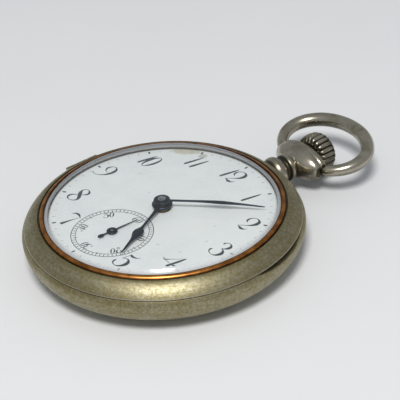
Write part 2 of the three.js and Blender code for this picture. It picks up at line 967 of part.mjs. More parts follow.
function balanceWheel() {
  const rim = turned(
    [
      [balanceRadius - 0.6, 3.85],
      [balanceRadius, 3.85],
      [balanceRadius, 4.35],
      [balanceRadius - 0.6, 4.35],
    ],
    24,
  );
  const arm = block([1 - balanceRadius, balanceRadius - 1], [-0.45, 0.45], [3.95, 4.25]);
  const reach = block([0.3 - balanceRadius, balanceRadius - 0.3], [-0.4, 0.4], [3.95, 4.25]);
  return cut(join(rim, arm, reach, disc(0.9, 3.95, 4.25, [0, 0], 12)), disc(0.45, 3, 5, [0, 0], 10));
}

function balanceStaff() {
  const staff = turned(
    [
      [0, 2.4],
      [0.15, 2.4],
      [0.15, 3.3],
      [0.35, 3.3],
      [0.35, 4.3],
      [0.3, 4.6],
      [1.1, 4.6],
      [1.1, 4.9],
      [0.3, 4.9],
      [0.3, 6.5],
      [0.15, 6.5],
      [0.15, 7.2],
      [0, 7.2],
    ],
    12,
  );
  return join(staff, disc(0.14, 4.85, 5.04, [0.85, 0], 8));
}

function regulator() {
  const ring = disc(1.5, 1.6, 1.93, [0, 0], 16);
  const pointer = solidOf(raised(strap([0, 0], polar(4.6, 52), 0.5, 0.12, 4), 1.6, 1.93));
  return cut(join(ring, pointer), disc(0.8, 1, 3, [0, 0], 12));
}

// ---- Keyless and motion work ----

// A toothed cylinder on the stem, between two values of y.
function stemGear(teeth, tip, rootRadius, from, to) {
  const outline = toothed(teeth, tip, rootRadius, plainTooth);
  const geometry = raised(outline, -to, -from);
  return solidOf(geometry.rotateX(Math.PI / 2).translate(0, 0, stemZ));
}

const windingPinion = () =>
  cut(stemGear(12, 1.42, 1.05, 15, 17.5), barAlongY(0.75, 10, 20, [0, stemZ], 12));

function clutchWheel() {
  const waist = turnedOnStem(
    [
      [1.6, 12.7],
      [1.6, 13.7],
      [1, 13.7],
      [1, 12.7],
    ],
    16,
  );
  const bore = barAlongY(0.75, 10, 20, [0, stemZ], 12);
  return cut(stemGear(12, 1.55, 1.2, 11.95, 14.5), waist, bore);
}

function settingLever() {
  const plate = solidOf(raised(strap(leverPivotAt, leverPinAt, 0.6, 0.45), 7.75, 8.15));
  return cut(join(plate, disc(0.25, 5.6, 7.8, leverPinAt, 8)), disc(0.3, 7, 9, leverPivotAt, 8));
}

function clutchLever() {
  const plate = solidOf(raised(strap(yokePivotAt, yokePinAt, 0.8, 0.45), 7.75, 8.15));
  return cut(join(plate, disc(0.24, 5.8, 7.8, yokePinAt, 8)), disc(0.3, 7, 9, yokePivotAt, 8));
}

const settingWheel = () =>
  wheel({ teeth: 20, pitch: 1.8, depth: 0.3, from: 6.75, to: 8.1, bore: 0.65 });

function minuteWheel() {
  const pinion = solidOf(raised(pinionOutline(10, 0.864), 7.9, 8.7));
  const plate = wheel({ teeth: 36, pitch: 3.24, depth: 0.32, from: 7.7, to: 7.95, bore: 0 });
  return cut(join(plate, pinion), disc(0.3, 7, 9, [0, 0], 8));
}

function cannonPinion() {
  const tube = disc(0.72, 7.68, 11.8, [0, 0], 14);
  const leaves = solidOf(raised(pinionOutline(12, 1.08), 7.68, 8.15));
  return cut(join(tube, leaves), disc(0.46, 7, 12, [0, 0], 12));
}

function hourWheel() {
  const plate = wheel({ teeth: 40, pitch: 3.456, depth: 0.3, from: 8.3, to: 8.6, bore: 0 });
  return cut(join(plate, disc(1.15, 8.4, 10.9, [0, 0], 14)), disc(0.88, 7, 12, [0, 0], 14));
}

// ---- Dial and hands ----

function dial() {
  const feet = dialFootAngles.map((angle) =>
    disc(0.4, 7.4, dialBottomZ + 0.1, polar(dialFootRadius, angle), 8),
  );
  const plate = disc(dialRadius, dialBottomZ, dialTopZ, [0, 0], shellSides);
  return cut(join(plate, ...feet), disc(1.5, 7, 11, [0, 0], 14), disc(0.5, 7, 11, fourthAt, 10));
}

// A hand pointing to 12: half widths at distances from its axis, and a fall towards the tip.
function hand({ widths, top, thickness, fall, fallFrom, hub, hubFrom, hubTo, bore }) {
  const left = widths.map(([y, half]) => [-half, y]);
  const right = widths.map(([y, half]) => [half, y]).reverse();
  const blade = raised([...right, ...left], top - thickness, top);
  const place = blade.attributes.position;
  const tip = widths[widths.length - 1][0];
  for (let i = 0; i < place.count; i++) {
    const share = Math.max(0, (place.getY(i) - fallFrom) / (tip - fallFrom));
    place.setZ(i, place.getZ(i) - fall * share);
  }
  return cut(join(solidOf(blade), disc(hub, hubFrom, hubTo, [0, 0], 16)), disc(bore, 9, 13, [0, 0], 14));
}

const hourHand = () =>
  hand({
    widths: [
      [0, 0.5],
      [4, 0.36],
      [8.2, 0.3],
      [8.9, 0.75],
      [9.7, 0.95],
      [10.5, 0.78],
      [11.4, 0.36],
      [13, 0.24],
      [15.9, 0.05],
    ],
    top: 10.8,
    thickness: 0.2,
    fall: 0.3,
    fallFrom: 3,
    hub: 1.85,
    hubFrom: 10.45,
    hubTo: 10.85,
    bore: 1.22,
  });

const minuteHand = () =>
  hand({
    widths: [
      [0, 0.45],
      [4, 0.32],
      [8.4, 0.25],
      [9.5, 0.42],
      [10.4, 0.5],
      [11.3, 0.4],
      [12.4, 0.25],
      [15, 0.17],
      [18.4, 0.04],
    ],
    top: 11.5,
    thickness: 0.18,
    fall: 0.8,
    fallFrom: 6,
    hub: 1.5,
    hubFrom: 11.2,
    hubTo: 11.7,
    bore: 0.78,
  });

const secondsHand = () =>
  hand({
    widths: [
      [-2.97, 0.22],
      [-2.2, 0.26],
      [-1.4, 0.12],
      [2, 0.1],
      [5.55, 0.03],
    ],
    top: 10.14,
    thickness: 0.14,
    fall: 0,
    fallFrom: 0,
    hub: 1,
    hubFrom: 9.9,
    hubTo: 10.2,
    bore: 0.27,
  });

// ---- Assembly ----

addPiece(root, "case_band", caseBand(), "nickel");
addPiece(root, "bezel", bezel(), "nickel");
addPiece(root, "bezel_ring", bezelRing(), "copper");
addPiece(root, "crystal", crystal(), "glass");
addPiece(root, "back_cover", backCover(), "nickel");
addPiece(root, "dust_cover", dustCover(), "gilt");
addPiece(root, "bezel_hinge_pin", hingeBar(bezelHinge, bezelHinge.pin, -hingeHalf, hingeHalf), "steel");
addPiece(root, "back_hinge_pin", hingeBar(backHinge, backHinge.pin, -hingeHalf, hingeHalf), "steel");
addPiece(root, "pendant", pendant(), "brightNickel");
addPiece(root, "bow", bow(), "brightNickel");
addPiece(root, "crown", crown(), "brightNickel");
addPiece(root, "winding_stem", windingStem(), "steel");
addPiece(root, "winding_pinion", windingPinion(), "steel");
addPiece(root, "clutch_wheel", clutchWheel(), "steel");
addPiece(root, "setting_lever", settingLever(), "steel");
addPiece(root, "clutch_lever", clutchLever(), "steel");

addPiece(root, "main_plate", mainPlate(), "gilt");
addPiece(root, "barrel_bridge", barrelBridge(), "gilt");
addPiece(root, "train_bridge", trainBridge(), "gilt");
addPiece(root, "balance_cock", balanceCock(), "gilt");
addPiece(root, "pallet_bridge", palletBridge(), "gilt");

function addScrew(name, at, ...sizes) {
  const [group, solid] = screw(at, ...sizes);
  addPiece(group, name, solid, "blueSteel");
}
pillarsOfBarrelBridge.forEach((at, i) => {
  addScrew("barrel_bridge_screw_" + (i + 1), at, 0.9, 2.05, 2.4, 0.42, 7.2);
});
pillarsOfTrainBridge.forEach((at, i) => {
  addScrew("train_bridge_screw_" + (i + 1), at, 0.9, 2.05, 2.4, 0.42, 7.2);
});
caseScrewAngles.forEach((angle, i) => {
  addScrew("case_screw_" + (i + 1), polar(caseScrewRadius, angle), 1.2, 6.15, 6.55, 0.42, 7.4);
});
addScrew("balance_cock_screw", cockFootAt, 0.9, 2.05, 2.4, 0.42, 7.2);
addScrew("pallet_bridge_screw", palletFootAt, 0.8, 4.2, 4.5, 0.38, 7.2);
addScrew("ratchet_screw", barrelAt, 1.5, 1.2, 1.42, 0.4, 2);
addScrew("crown_wheel_core", crownWheelAt, 1.7, 1.2, 1.42, 0.9, 3.9);

const barrelGroup = groupAt(barrelAt);
addPiece(barrelGroup, "barrel", barrelDrum(), "brass");
addPiece(barrelGroup, "barrel_cover", barrelCover(), "brass");
addPiece(barrelGroup, "barrel_arbor", barrelArbor(), "steel");
addPiece(barrelGroup, "mainspring", spiral(1.5, 6.8, 5, 0.2, 3.95, 5.35, 10), "blueSteel");
addPiece(barrelGroup, "ratchet_wheel", windingWheel(winding.ratchetTeeth, 0.6), "steel");
addPiece(groupAt(crownWheelAt), "crown_wheel", crownWheel(), "steel");

const clickTip = [-10.2, -3.25];
const click = join(
  solidOf(raised(strap(clickPivotAt, clickTip, 0.7, 0.2, 5), winding.from, winding.to)),
  disc(0.3, winding.to - 0.1, 2.7, clickPivotAt, 8),
);
addPiece(root, "click", click, "steel");
const springShape = [
  ...arc(9.6, 248, 274, 8, barrelAt),
  ...arc(9.8, 274, 248, 8, barrelAt),
];
addPiece(root, "click_spring", solidOf(raised(springShape, 1.5, 1.97)), "steel");

const centreGroup = groupAt([0, 0]);
addPiece(centreGroup, "centre_arbor", centreArbor(), "steel");
const centreWheel = { teeth: 64, pitch: 5.44, depth: 0.28, from: 6.1, to: 6.35, bore: 0.5 };
const centreArms = { arms: 5, rim: 0.55, hub: 1.2, armWidth: 0.5 };
addPiece(centreGroup, "centre_wheel", wheel({ ...centreWheel, ...centreArms }), "brass");

const thirdGroup = groupAt(thirdAt);
addPiece(thirdGroup, "third_pinion", thirdPinion(), "steel");
const thirdWheel = { teeth: 60, pitch: 5.1, depth: 0.28, from: 4.55, to: 4.8, bore: 0.4 };
const thirdArms = { arms: 5, rim: 0.5, hub: 1, armWidth: 0.42 };
addPiece(thirdGroup, "third_wheel", wheel({ ...thirdWheel, ...thirdArms }), "brass");

const fourthGroup = groupAt(fourthAt);
addPiece(fourthGroup, "fourth_pinion", fourthPinion(), "steel");
const fourthWheel = { teeth: 70, pitch: 4.9, depth: 0.24, from: 5.65, to: 5.9, bore: 0.38 };
const fourthArms = { arms: 5, rim: 0.45, hub: 1, armWidth: 0.4 };
addPiece(fourthGroup, "fourth_wheel", wheel({ ...fourthWheel, ...fourthArms }), "brass");

const escapeGroup = groupAt(escapeAt);
addPiece(escapeGroup, "escape_pinion", escapePinion(), "steel");
addPiece(escapeGroup, "escape_wheel", escapeWheel(), "steel");
addPiece(groupAt(palletAt), "pallet_fork", palletFork(), "steel");

const balanceGroup = groupAt(balanceAt);
addPiece(balanceGroup, "balance_wheel", balanceWheel(), "brass");
addPiece(balanceGroup, "balance_staff", balanceStaff(), "steel");
addPiece(balanceGroup, "hairspring", spiral(0.8, 4, 5, 0.1, 3.4, 3.62, 10), "blueSteel");
addPiece(balanceGroup, "regulator", regulator(), "steel");

addPiece(groupAt(settingWheelAt), "setting_wheel", settingWheel(), "steel");
addPiece(groupAt(minuteWheelAt), "minute_wheel", minuteWheel(), "brass");
addPiece(root, "cannon_pinion", cannonPinion(), "steel");
addPiece(root, "hour_wheel", hourWheel(), "brass");

addPiece(root, "dial", dial(), "enamel");
addPiece(groupAt([0, 0], -hourAngle), "hour_hand", hourHand(), "blueSteel");
addPiece(groupAt([0, 0], -minuteAngle), "minute_hand", minuteHand(), "blueSteel");
addPiece(groupAt(fourthAt, -secondsAngle), "seconds_hand", secondsHand(), "blueSteel");

export default root;
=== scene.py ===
import math
import bmesh
import bpy
import numpy as np
from mathutils import Matrix, Vector


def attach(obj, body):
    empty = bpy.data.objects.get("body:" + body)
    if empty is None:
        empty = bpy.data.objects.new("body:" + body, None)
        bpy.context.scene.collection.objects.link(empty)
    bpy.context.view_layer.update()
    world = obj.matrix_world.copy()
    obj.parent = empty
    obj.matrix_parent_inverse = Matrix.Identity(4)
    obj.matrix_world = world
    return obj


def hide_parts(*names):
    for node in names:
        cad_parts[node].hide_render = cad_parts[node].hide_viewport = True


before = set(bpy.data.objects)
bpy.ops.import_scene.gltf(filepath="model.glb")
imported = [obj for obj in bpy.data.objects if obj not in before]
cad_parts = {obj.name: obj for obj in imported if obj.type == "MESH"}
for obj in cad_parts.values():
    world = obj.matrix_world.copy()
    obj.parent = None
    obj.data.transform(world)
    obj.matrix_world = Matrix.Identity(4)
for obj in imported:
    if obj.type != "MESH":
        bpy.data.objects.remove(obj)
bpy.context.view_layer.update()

mm = 0.001
print("frame loaded:", len(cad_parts), "nodes")


# Shader maths: a signal wraps one socket, and arithmetic on it adds Math nodes.
class Signal:
    def __init__(self, finish, socket):
        self.finish = finish
        self.socket = socket

    def __add__(self, other):
        return self.finish.maths("ADD", self, other)

    def __sub__(self, other):
        return self.finish.maths("SUBTRACT", self, other)

    def __rsub__(self, other):
        return self.finish.maths("SUBTRACT", other, self)

    def __mul__(self, other):
        return self.finish.maths("MULTIPLY", self, other)

    def __truediv__(self, other):
        return self.finish.maths("DIVIDE", self, other)

    def __pow__(self, other):
        return self.finish.maths("POWER", self, other)

    __radd__ = __add__
    __rmul__ = __mul__


# A material with one Principled shader; patterns read the place on the object in millimetres.
class Finish:
    def __init__(self, name, **values):
        self.material = bpy.data.materials.new(name)
        self.material.use_nodes = True
        self.tree = self.material.node_tree
        self.tree.nodes.clear()
        self.output = self.tree.nodes.new("ShaderNodeOutputMaterial")
        self.shell = self.node("ShaderNodeBsdfPrincipled", {},
                               {key.replace("_", " "): value for key, value in values.items()})
        self.show(self.shell)
        whole = self.node("ShaderNodeTexCoord", output="Object")
        self.place = self.node("ShaderNodeVectorMath", {"operation": "SCALE"}, {0: whole, "Scale": 1000.0})
        self.x, self.y, self.z = [self.node("ShaderNodeSeparateXYZ", {}, {0: self.place},
                                            axis) for axis in "XYZ"]
        self.radius = (self.x * self.x + self.y * self.y) ** 0.5

    # Adds a node of a type: its settings first, then the values or links of its sockets.
    def node(self, kind, settings=None, sockets=None, output=0):
        made = self.tree.nodes.new(kind)
        for name, value in (settings or {}).items():
            if name == "stops":
                for place, (position, colour) in enumerate(value):
                    stops = made.color_ramp.elements
                    stop = stops[place] if place < 2 else stops.new(position)
                    stop.position, stop.color = position, (*colour, 1)
            else:
                setattr(made, name, value)
        for name, value in (sockets or {}).items():
            self.feed(made.inputs[name], value)
        return Signal(self, made.outputs[output])

    def feed(self, socket, value):
        if isinstance(value, Signal):
            self.tree.links.new(value.socket, socket)
        else:
            socket.default_value = (*value, 1) if isinstance(value,
                    tuple) and len(value) == 3 and len(socket.default_value) == 4 else value

    def set(self, **values):
        for name, value in values.items():
            self.feed(self.shell.socket.node.inputs[name.replace("_", " ")], value)
        return self

    def show(self, signal):
        self.tree.links.new(signal.socket, self.output.inputs[0])

    def maths(self, operation, first, second=0.0):
        return self.node("ShaderNodeMath", {"operation": operation}, {0: first, 1: second})

    def noise(self, scale, detail=4.0, roughness=0.55, stretch=(1.0, 1.0, 1.0), shift=(0.0, 0.0, 0.0)):
        where = self.node("ShaderNodeMapping", {},
                          {"Vector": self.place, "Location": shift, "Scale": stretch})
        return self.node("ShaderNodeTexNoise", {}, {"Vector": where, "Scale": scale, "Detail": detail,
                                                    "Roughness": roughness})

    # Rises smoothly from 0 to 1 as a value goes from low to high.
    def rise(self, value, low, high):
        return self.node("ShaderNodeMapRange", {"interpolation_type": "SMOOTHSTEP"},
                         {"Value": value, "From Min": low, "From Max": high})

    def band(self, value, low, high, soft):
        return self.rise(value, low - soft, low) * (1 - self.rise(value, high, high + soft))

    def mixed(self, share, first, second):
        return self.node("ShaderNodeMix", {"data_type": "RGBA"}, {0: share, 6: first, 7: second}, 2)

    def bumped(self, height, strength=0.3, distance=0.00002):
        return self.node("ShaderNodeBump", {}, {"Height": height, "Strength": strength, "Distance": distance})


# Worn nickel: satin grey with olive tarnish that gathers by the ring, the seam and in clouds,
# with fine rubbing and dark specks; painted highlight along the bezel's lower edge, and painted shade
# round the ring, in the seam and over the hinge knuckles.
wornLook = {
    "clean": (0.43, 0.405, 0.30),
    "dull": (0.275, 0.24, 0.135),
    "olive": (0.195, 0.155, 0.05),
    "speck": (0.035, 0.03, 0.022),
    "rubbedAndHighlight": (0.78, 0.75, 0.66),
    "paintedShade": (0.012, 0.010, 0.008),
}


def wornNickel():
    f = Finish("worn_nickel", Metallic=1.0, Specular_IOR_Level=0.5)
    cloud = f.noise(0.22, 6.0, 0.66)
    patch = f.noise(1.9, 5.0, 0.72, shift=(7.0, 3.0, 1.0))
    grain = f.noise(3.4, 3.0, 0.7)
    fine = f.noise(11.0, 2.0, 0.6)
    turnedX = f.node("ShaderNodeCombineXYZ", {}, {0: f.radius * 5.0, 1: f.z * 5.0, 2: (f.x + f.y) * 0.16})
    rubbedAndHighlight = f.node("ShaderNodeTexNoise", {}, {"Vector": turnedX, "Scale": 1.0, "Detail": 4.0,
                                               "Roughness": 0.6})
    nearRing = (1 - f.rise(f.radius, 22.2, 23.6)) * f.rise(f.z, 8.5, 9.5)
    nearSeam = f.band(f.z, 7.2, 8.0, 1.1)
    tarnish = f.rise(cloud * 0.55 + patch * 0.55 + nearRing * 0.16 + nearSeam * 0.10, 0.36, 0.92)
    base = f.mixed(f.rise(patch * 0.6 + rubbedAndHighlight * 0.4, 0.35, 0.65), wornLook["clean"], wornLook["dull"])
    base = f.mixed(tarnish * 0.85, base, wornLook["olive"])
    base = f.mixed(f.rise(grain * 0.6 + fine * 0.4, 0.50, 0.66) * 0.5, base, wornLook["olive"])
    # Painted highlight: a pale band along the bezel's rounded lower edge, also smoother there.
    edge = f.band(f.z, 7.8, 7.92, 0.05) * f.rise(f.radius, 24.5, 24.7)
    base = f.mixed(edge * 0.3, base, wornLook["rubbedAndHighlight"])
    # Painted shade: the hinge knuckles darkened towards the dull colour so that they catch less light.
    knuckleShade = f.rise(f.x * -1, 24.95, 25.15) * f.band(f.z, 7.0, 8.4, 0.1) * f.band(f.y, -3.5, 3.5, 0.1)
    base = f.mixed(knuckleShade * 0.6, base, wornLook["dull"])
    specks = f.rise(f.noise(4.2, 2.0, 0.5, shift=(3.0, 9.0, 5.0)), 0.70, 0.77)
    base = f.mixed(specks * 0.75, base, wornLook["speck"])
    # Painted shade: near-black in the groove round the ring and in the seam under the bezel's lower edge, also
    # rougher there.
    lip = f.rise(f.z, 9.75, 9.95) * (1 - f.rise(f.radius, 22.26, 22.38))
    seam = f.band(f.z, 7.6, 7.74, 0.03) * (1 - f.rise(f.radius, 24.96, 25.02))
    shadow = f.maths("MAXIMUM", lip, seam)
    base = f.mixed(shadow * 0.96, base, wornLook["paintedShade"])
    f.set(Base_Color=base, Roughness=0.38 + tarnish * 0.10 + grain * 0.14 + shadow * 0.4 - edge * 0.12)
    f.set(Normal=f.bumped(grain * 0.5 + fine * 0.3 + rubbedAndHighlight * 0.6 - specks * 0.8, 0.45, 0.00004))
    return f.material


# Brighter nickel of the pendant, bow and crown: polished where it is handled, darker brown in the grooves, and
# painted shade by the case, at the head's end creases and on the lower sides.
brightLook = {"clean": (0.48, 0.445, 0.365), "dull": (0.25, 0.22, 0.155), "hollowsAndShade": (0.04, 0.034, 0.022)}


def brightNickel():
    f = Finish("bright_nickel", Metallic=1.0)
    cloud = f.noise(0.33, 5.0, 0.6)
    grain = f.noise(4.0, 3.0, 0.65)
    fine = f.noise(13.0, 2.0, 0.6)
    tarnish = f.rise(cloud * 0.75 + grain * 0.25, 0.38, 0.68)
    base = f.mixed(tarnish, brightLook["clean"], brightLook["dull"])
    away = ((f.z - 5.5) * (f.z - 5.5) + f.x * f.x) ** 0.5
    # Darker brown in the crown's flute grooves and in the neck's groove.
    flutes = f.band(f.y, 35.0, 39.0, 0.15) * (1 - f.rise(away, 3.46, 3.78)) * f.rise(away, 2.9, 3.2)
    groove = f.band(f.y, 27.75, 28.75, 0.22) * (1 - f.rise(away, 2.5, 2.75))
    # Painted shade: a dark line along the creases at the head's flat ends, and the neck darkened next to the
    # case.
    creaseShade = f.band(f.maths("ABSOLUTE", f.x), 5.66, 5.78, 0.06) * f.band(f.y, 31.0, 35.6, 0.2)
    gap = 1 - f.rise(f.y, 25.3, 25.75)
    dark = f.maths("MAXIMUM", f.maths("MAXIMUM", flutes, groove), f.maths("MAXIMUM", creaseShade, gap))
    # Painted shade: brown on the lower sides, below the stem's axis and below the bow's tilted middle plane
    # further out.
    middle = f.maths("MAXIMUM", f.y - 33.4, 0.0) * 0.171 + 5.5  # height of the bow's own middle plane
    undersideShade = 1 - f.rise(f.z - middle, -0.8, 0.5)
    base = f.mixed(f.maths("MAXIMUM", dark * 0.9, undersideShade * 0.65), base, brightLook["hollowsAndShade"])
    f.set(Base_Color=base, Roughness=0.19 + tarnish * 0.16 + grain * 0.05 + dark * 0.15)
    f.set(Normal=f.bumped(grain * 0.5 + fine * 0.3, 0.22, 0.00002))
    return f.material


# Bare copper-coloured ring with small nicks, and painted shade darkening both its edges.
ringLook = {"clean": (0.52, 0.215, 0.055), "deep": (0.27, 0.10, 0.022), "nickAndEdgeShade": (0.02, 0.012, 0.008)}


def copperRing():
    f = Finish("copper", Metallic=1.0)
    cloud = f.noise(0.5, 5.0, 0.6)
    grain = f.noise(5.0, 3.0, 0.7)
    edge = f.maths("MAXIMUM", 1 - f.rise(f.radius, 21.2, 21.42), f.rise(f.radius, 21.84, 22.0))
    nicks = f.rise(f.noise(1.3, 4.0, 0.75, shift=(2.0, 5.0, 0.0)) + edge * 0.10, 0.65, 0.70)
    base = f.mixed(f.rise(cloud, 0.35, 0.65), ringLook["clean"], ringLook["deep"])
    # Painted shade: a dark band along the inner and outer edges, also rougher there.
    base = f.mixed(edge * 0.85, base, ringLook["nickAndEdgeShade"])
    base = f.mixed(nicks * 0.85, base, ringLook["nickAndEdgeShade"])
    f.set(Base_Color=base, Roughness=0.26 + grain * 0.16 + edge * 0.2)
    f.set(Normal=f.bumped(grain * 0.6 - nicks, 0.3, 0.00003))
    return f.material


# Clear domed crystal: lets the dial show, mirrors at a glance, and turns milky grey in its thick edge.
crystalLook = {"edge": (0.60, 0.62, 0.64), "edgeFrom": 20.15, "edgeTo": 20.95, "edgeShare": 0.82}


def crystalGlass():
    f = Finish("crystal_glass", Metallic=0.0)
    smear = f.noise(0.3, 5.0, 0.6)
    edge = f.rise(f.radius, crystalLook["edgeFrom"], crystalLook["edgeTo"])
    facing = f.node("ShaderNodeLayerWeight", {}, {"Blend": 0.5}, "Facing")
    glance = facing**5 * 0.85 + 0.035
    clear = f.node("ShaderNodeBsdfTransparent", {}, {"Color": (0.975, 0.985, 0.985)})
    mirror = f.node("ShaderNodeBsdfAnisotropic", {},
                    {"Color": (1.0, 1.0, 1.0), "Roughness": 0.07 + smear * 0.08})
    glass = f.node("ShaderNodeMixShader", {}, {0: glance, 1: clear, 2: mirror})
    f.set(Base_Color=f.mixed(smear, crystalLook["edge"], (0.50, 0.51, 0.52)), Roughness=0.34 + smear * 0.1)
    f.show(f.node("ShaderNodeMixShader", {}, {0: edge * crystalLook["edgeShare"], 1: glass, 2: f.shell}))
    return f.material


# Fired enamel: cold white with faint clouds, a beige stain by 11 o'clock and a few specks.
enamelLook = {
    "white": (0.90, 0.905, 0.895),
    "cool": (0.84, 0.855, 0.86),
    "stain": (0.56, 0.50, 0.34),
    "ash": (0.36, 0.36, 0.33),
    "stainAt": (-12.3, 15.4),
    "stainTurn": 40,
    "specks": [(-12.2, 4.1, 0.28), (13.5, -0.8, 0.26), (8.4, -7.5, 0.30), (12.9, -6.1, 0.24),
               (-5.8, 1.4, 0.22), (10.9, 3.2, 0.20)],
}


def enamel():
    f = Finish("enamel", Metallic=0.0, Coat_Roughness=0.05, Coat_Weight=0.5)
    cloud = f.noise(0.16, 5.0, 0.6)
    ragged = f.noise(0.55, 4.0, 0.65, shift=(4.0, 1.0, 0.0)) - 0.5
    turn = math.radians(enamelLook["stainTurn"])
    stainX, stainY = enamelLook["stainAt"]
    along = (f.x - stainX) * math.cos(turn) + (f.y - stainY) * math.sin(turn)
    across = (f.y - stainY) * math.cos(turn) - (f.x - stainX) * math.sin(turn)
    spread = (along * along / 11.0 + across * across / 2.2) ** 0.5
    stain = 1 - f.rise(spread + ragged * 1.1, 0.62, 1.08)
    ashX, ashY = f.x + 8.9, f.y - 16.3
    ash = 1 - f.rise((ashX * ashX + ashY * ashY) ** 0.5 + ragged * 1.2, 0.35, 1.15)
    base = f.mixed(f.rise(cloud, 0.3, 0.7), enamelLook["white"], enamelLook["cool"])
    base = f.mixed(stain * 0.7, base, enamelLook["stain"])
    base = f.mixed(ash * 0.6, base, enamelLook["ash"])
    dust = f.rise(f.noise(2.6, 2.0, 0.5, shift=(1.0, 8.0, 2.0)), 0.745, 0.79) * 0.28
    for speckX, speckY, size in enamelLook["specks"]:
        away = ((f.x - speckX) * (f.x - speckX) + (f.y - speckY) * (f.y - speckY)) ** 0.5
        dust = f.maths("MAXIMUM", dust, (1 - f.rise(away, size * 0.3, size * 1.5)) * 0.32)
    base = f.mixed(dust, base, (0.25, 0.26, 0.25))
    f.set(Base_Color=base, Roughness=0.22 + cloud * 0.1)
    f.set(Normal=f.bumped(cloud + f.noise(1.4, 3.0, 0.5) * 0.2, 0.12, 0.00005))
    return f.material


# Vitrified ink of the numerals and scales.
def printedInk(name, colour, pale):
    f = Finish(name, Metallic=0.0)
    wear = f.noise(2.4, 4.0, 0.6)
    f.set(Base_Color=f.mixed(f.rise(wear, 0.35, 0.7), colour, pale), Roughness=0.35 + wear * 0.15)
    return f.material


# One recipe for the inner metals: a base and a second colour in clouds, fine grain, and a chosen pattern.
def fineMetal(name, light, deep, roughness, pattern="grained", strength=0.3):
    f = Finish(name, Metallic=1.0)
    cloud = f.noise(0.35, 5.0, 0.6)
    grain = f.noise(6.0, 3.0, 0.65)
    height = grain * 0.5
    if pattern == "striped":  # broad parallel stripes, each with a rounded back
        wave = f.node("ShaderNodeMath", {"operation": "SINE"}, {0: (f.x * 0.75 + f.y * 0.66) * 4.2})
        height = height + wave * 1.4
    if pattern == "pearled":  # overlapping round spots on a square grid
        spotX = f.maths("PINGPONG", f.x, 0.75) - 0.38
        spotY = f.maths("PINGPONG", f.y, 0.75) - 0.38
        ripple = f.node("ShaderNodeMath", {"operation": "SINE"},
                        {0: (spotX * spotX + spotY * spotY) ** 0.5 * 46.0})
        height = height + ripple * 0.6
    if pattern == "turned":  # fine rings round the watch's own axis
        rings = f.noise(1.0, 2.0, 0.5)
        height = height + f.node("ShaderNodeMath", {"operation": "SINE"},
                                 {0: f.radius * 24.0 + rings * 2.0}) * 0.4
    base = f.mixed(f.rise(cloud * 0.7 + grain * 0.3, 0.35, 0.68), light, deep)
    f.set(Base_Color=base, Roughness=roughness + grain * 0.12)
    f.set(Normal=f.bumped(height, strength, 0.00002))
    return f.material


def makeFinishes():
    return {
        "worn_nickel": wornNickel(),
        "bright_nickel": brightNickel(),
        "copper": copperRing(),
        "crystal_glass": crystalGlass(),
        "enamel": enamel(),
        "ink": printedInk("slate_ink", (0.035, 0.046, 0.058), (0.075, 0.09, 0.10)),
        "paleInk": printedInk("pale_ink", (0.16, 0.18, 0.19), (0.28, 0.30, 0.31)),
        "blued_steel": fineMetal("blued_steel", (0.030, 0.042, 0.062), (0.016, 0.020, 0.028), 0.30),
        "gilt_brass": fineMetal("gilt_brass", (0.86, 0.62, 0.27), (0.70, 0.46, 0.17), 0.28, "striped", 0.35),
        "gilt_plate": fineMetal("gilt_plate", (0.84, 0.60, 0.26), (0.66, 0.43, 0.16), 0.32, "pearled", 0.3),
        "gilt_turned": fineMetal("gilt_turned", (0.84, 0.60, 0.26), (0.66, 0.43, 0.16), 0.26, "turned", 0.3),
        "brass": fineMetal("brass", (0.80, 0.60, 0.26), (0.62, 0.43, 0.16), 0.24, "turned", 0.2),
        "steel": fineMetal("steel", (0.60, 0.61, 0.63), (0.42, 0.43, 0.45), 0.22),
    }


finishes = makeFinishes()
print("finishes made:", len(finishes))


# The faces of a grid: each joins a point to its neighbours along both parameters.
def gridFaces(rows, columns, closeRows, closeColumns, start):
    i, j = np.meshgrid(np.arange(rows if closeRows else rows - 1),
                       np.arange(columns if closeColumns else columns - 1), indexing="ij")
    nextI, nextJ = (i + 1) % rows, (j + 1) % columns
    return start + np.stack([i * columns + j, nextI * columns + j, nextI * columns + nextJ,
                             i * columns + nextJ], -1).reshape(-1, 4)


# A piece made of one or more surfaces, each a grid of points in millimetres and whether its
# rows and columns join up.
def makePiece(name, surfaces, finish, body, replaces=(), sharp=38):
    points, faces, start = [], [], 0
    for grid, closeRows, closeColumns in surfaces:
        rows, columns = grid.shape[:2]
        points.append(grid.reshape(-1, 3))
        faces.append(gridFaces(rows, columns, closeRows, closeColumns, start))
        start += rows * columns
    mesh = bpy.data.meshes.new(name)
    mesh.from_pydata(np.concatenate(points) * mm, [], np.concatenate(faces).tolist())
    work = bmesh.new()
    work.from_mesh(mesh)
    bmesh.ops.remove_doubles(work, verts=work.verts, dist=2e-7)
    bmesh.ops.dissolve_degenerate(work, edges=work.edges, dist=1e-8)
    bmesh.ops.recalc_face_normals(work, faces=work.faces)
    work.to_mesh(mesh)
    work.free()
    mesh.polygons.foreach_set("use_smooth", np.ones(len(mesh.polygons), bool))
    mesh.set_sharp_from_angle(angle=math.radians(sharp))
    made = bpy.data.objects.new(name, mesh)
    bpy.context.scene.collection.objects.link(made)
    mesh.materials.append(finishes[finish])
    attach(made, body)
    if replaces:
        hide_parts(*replaces)
    return made


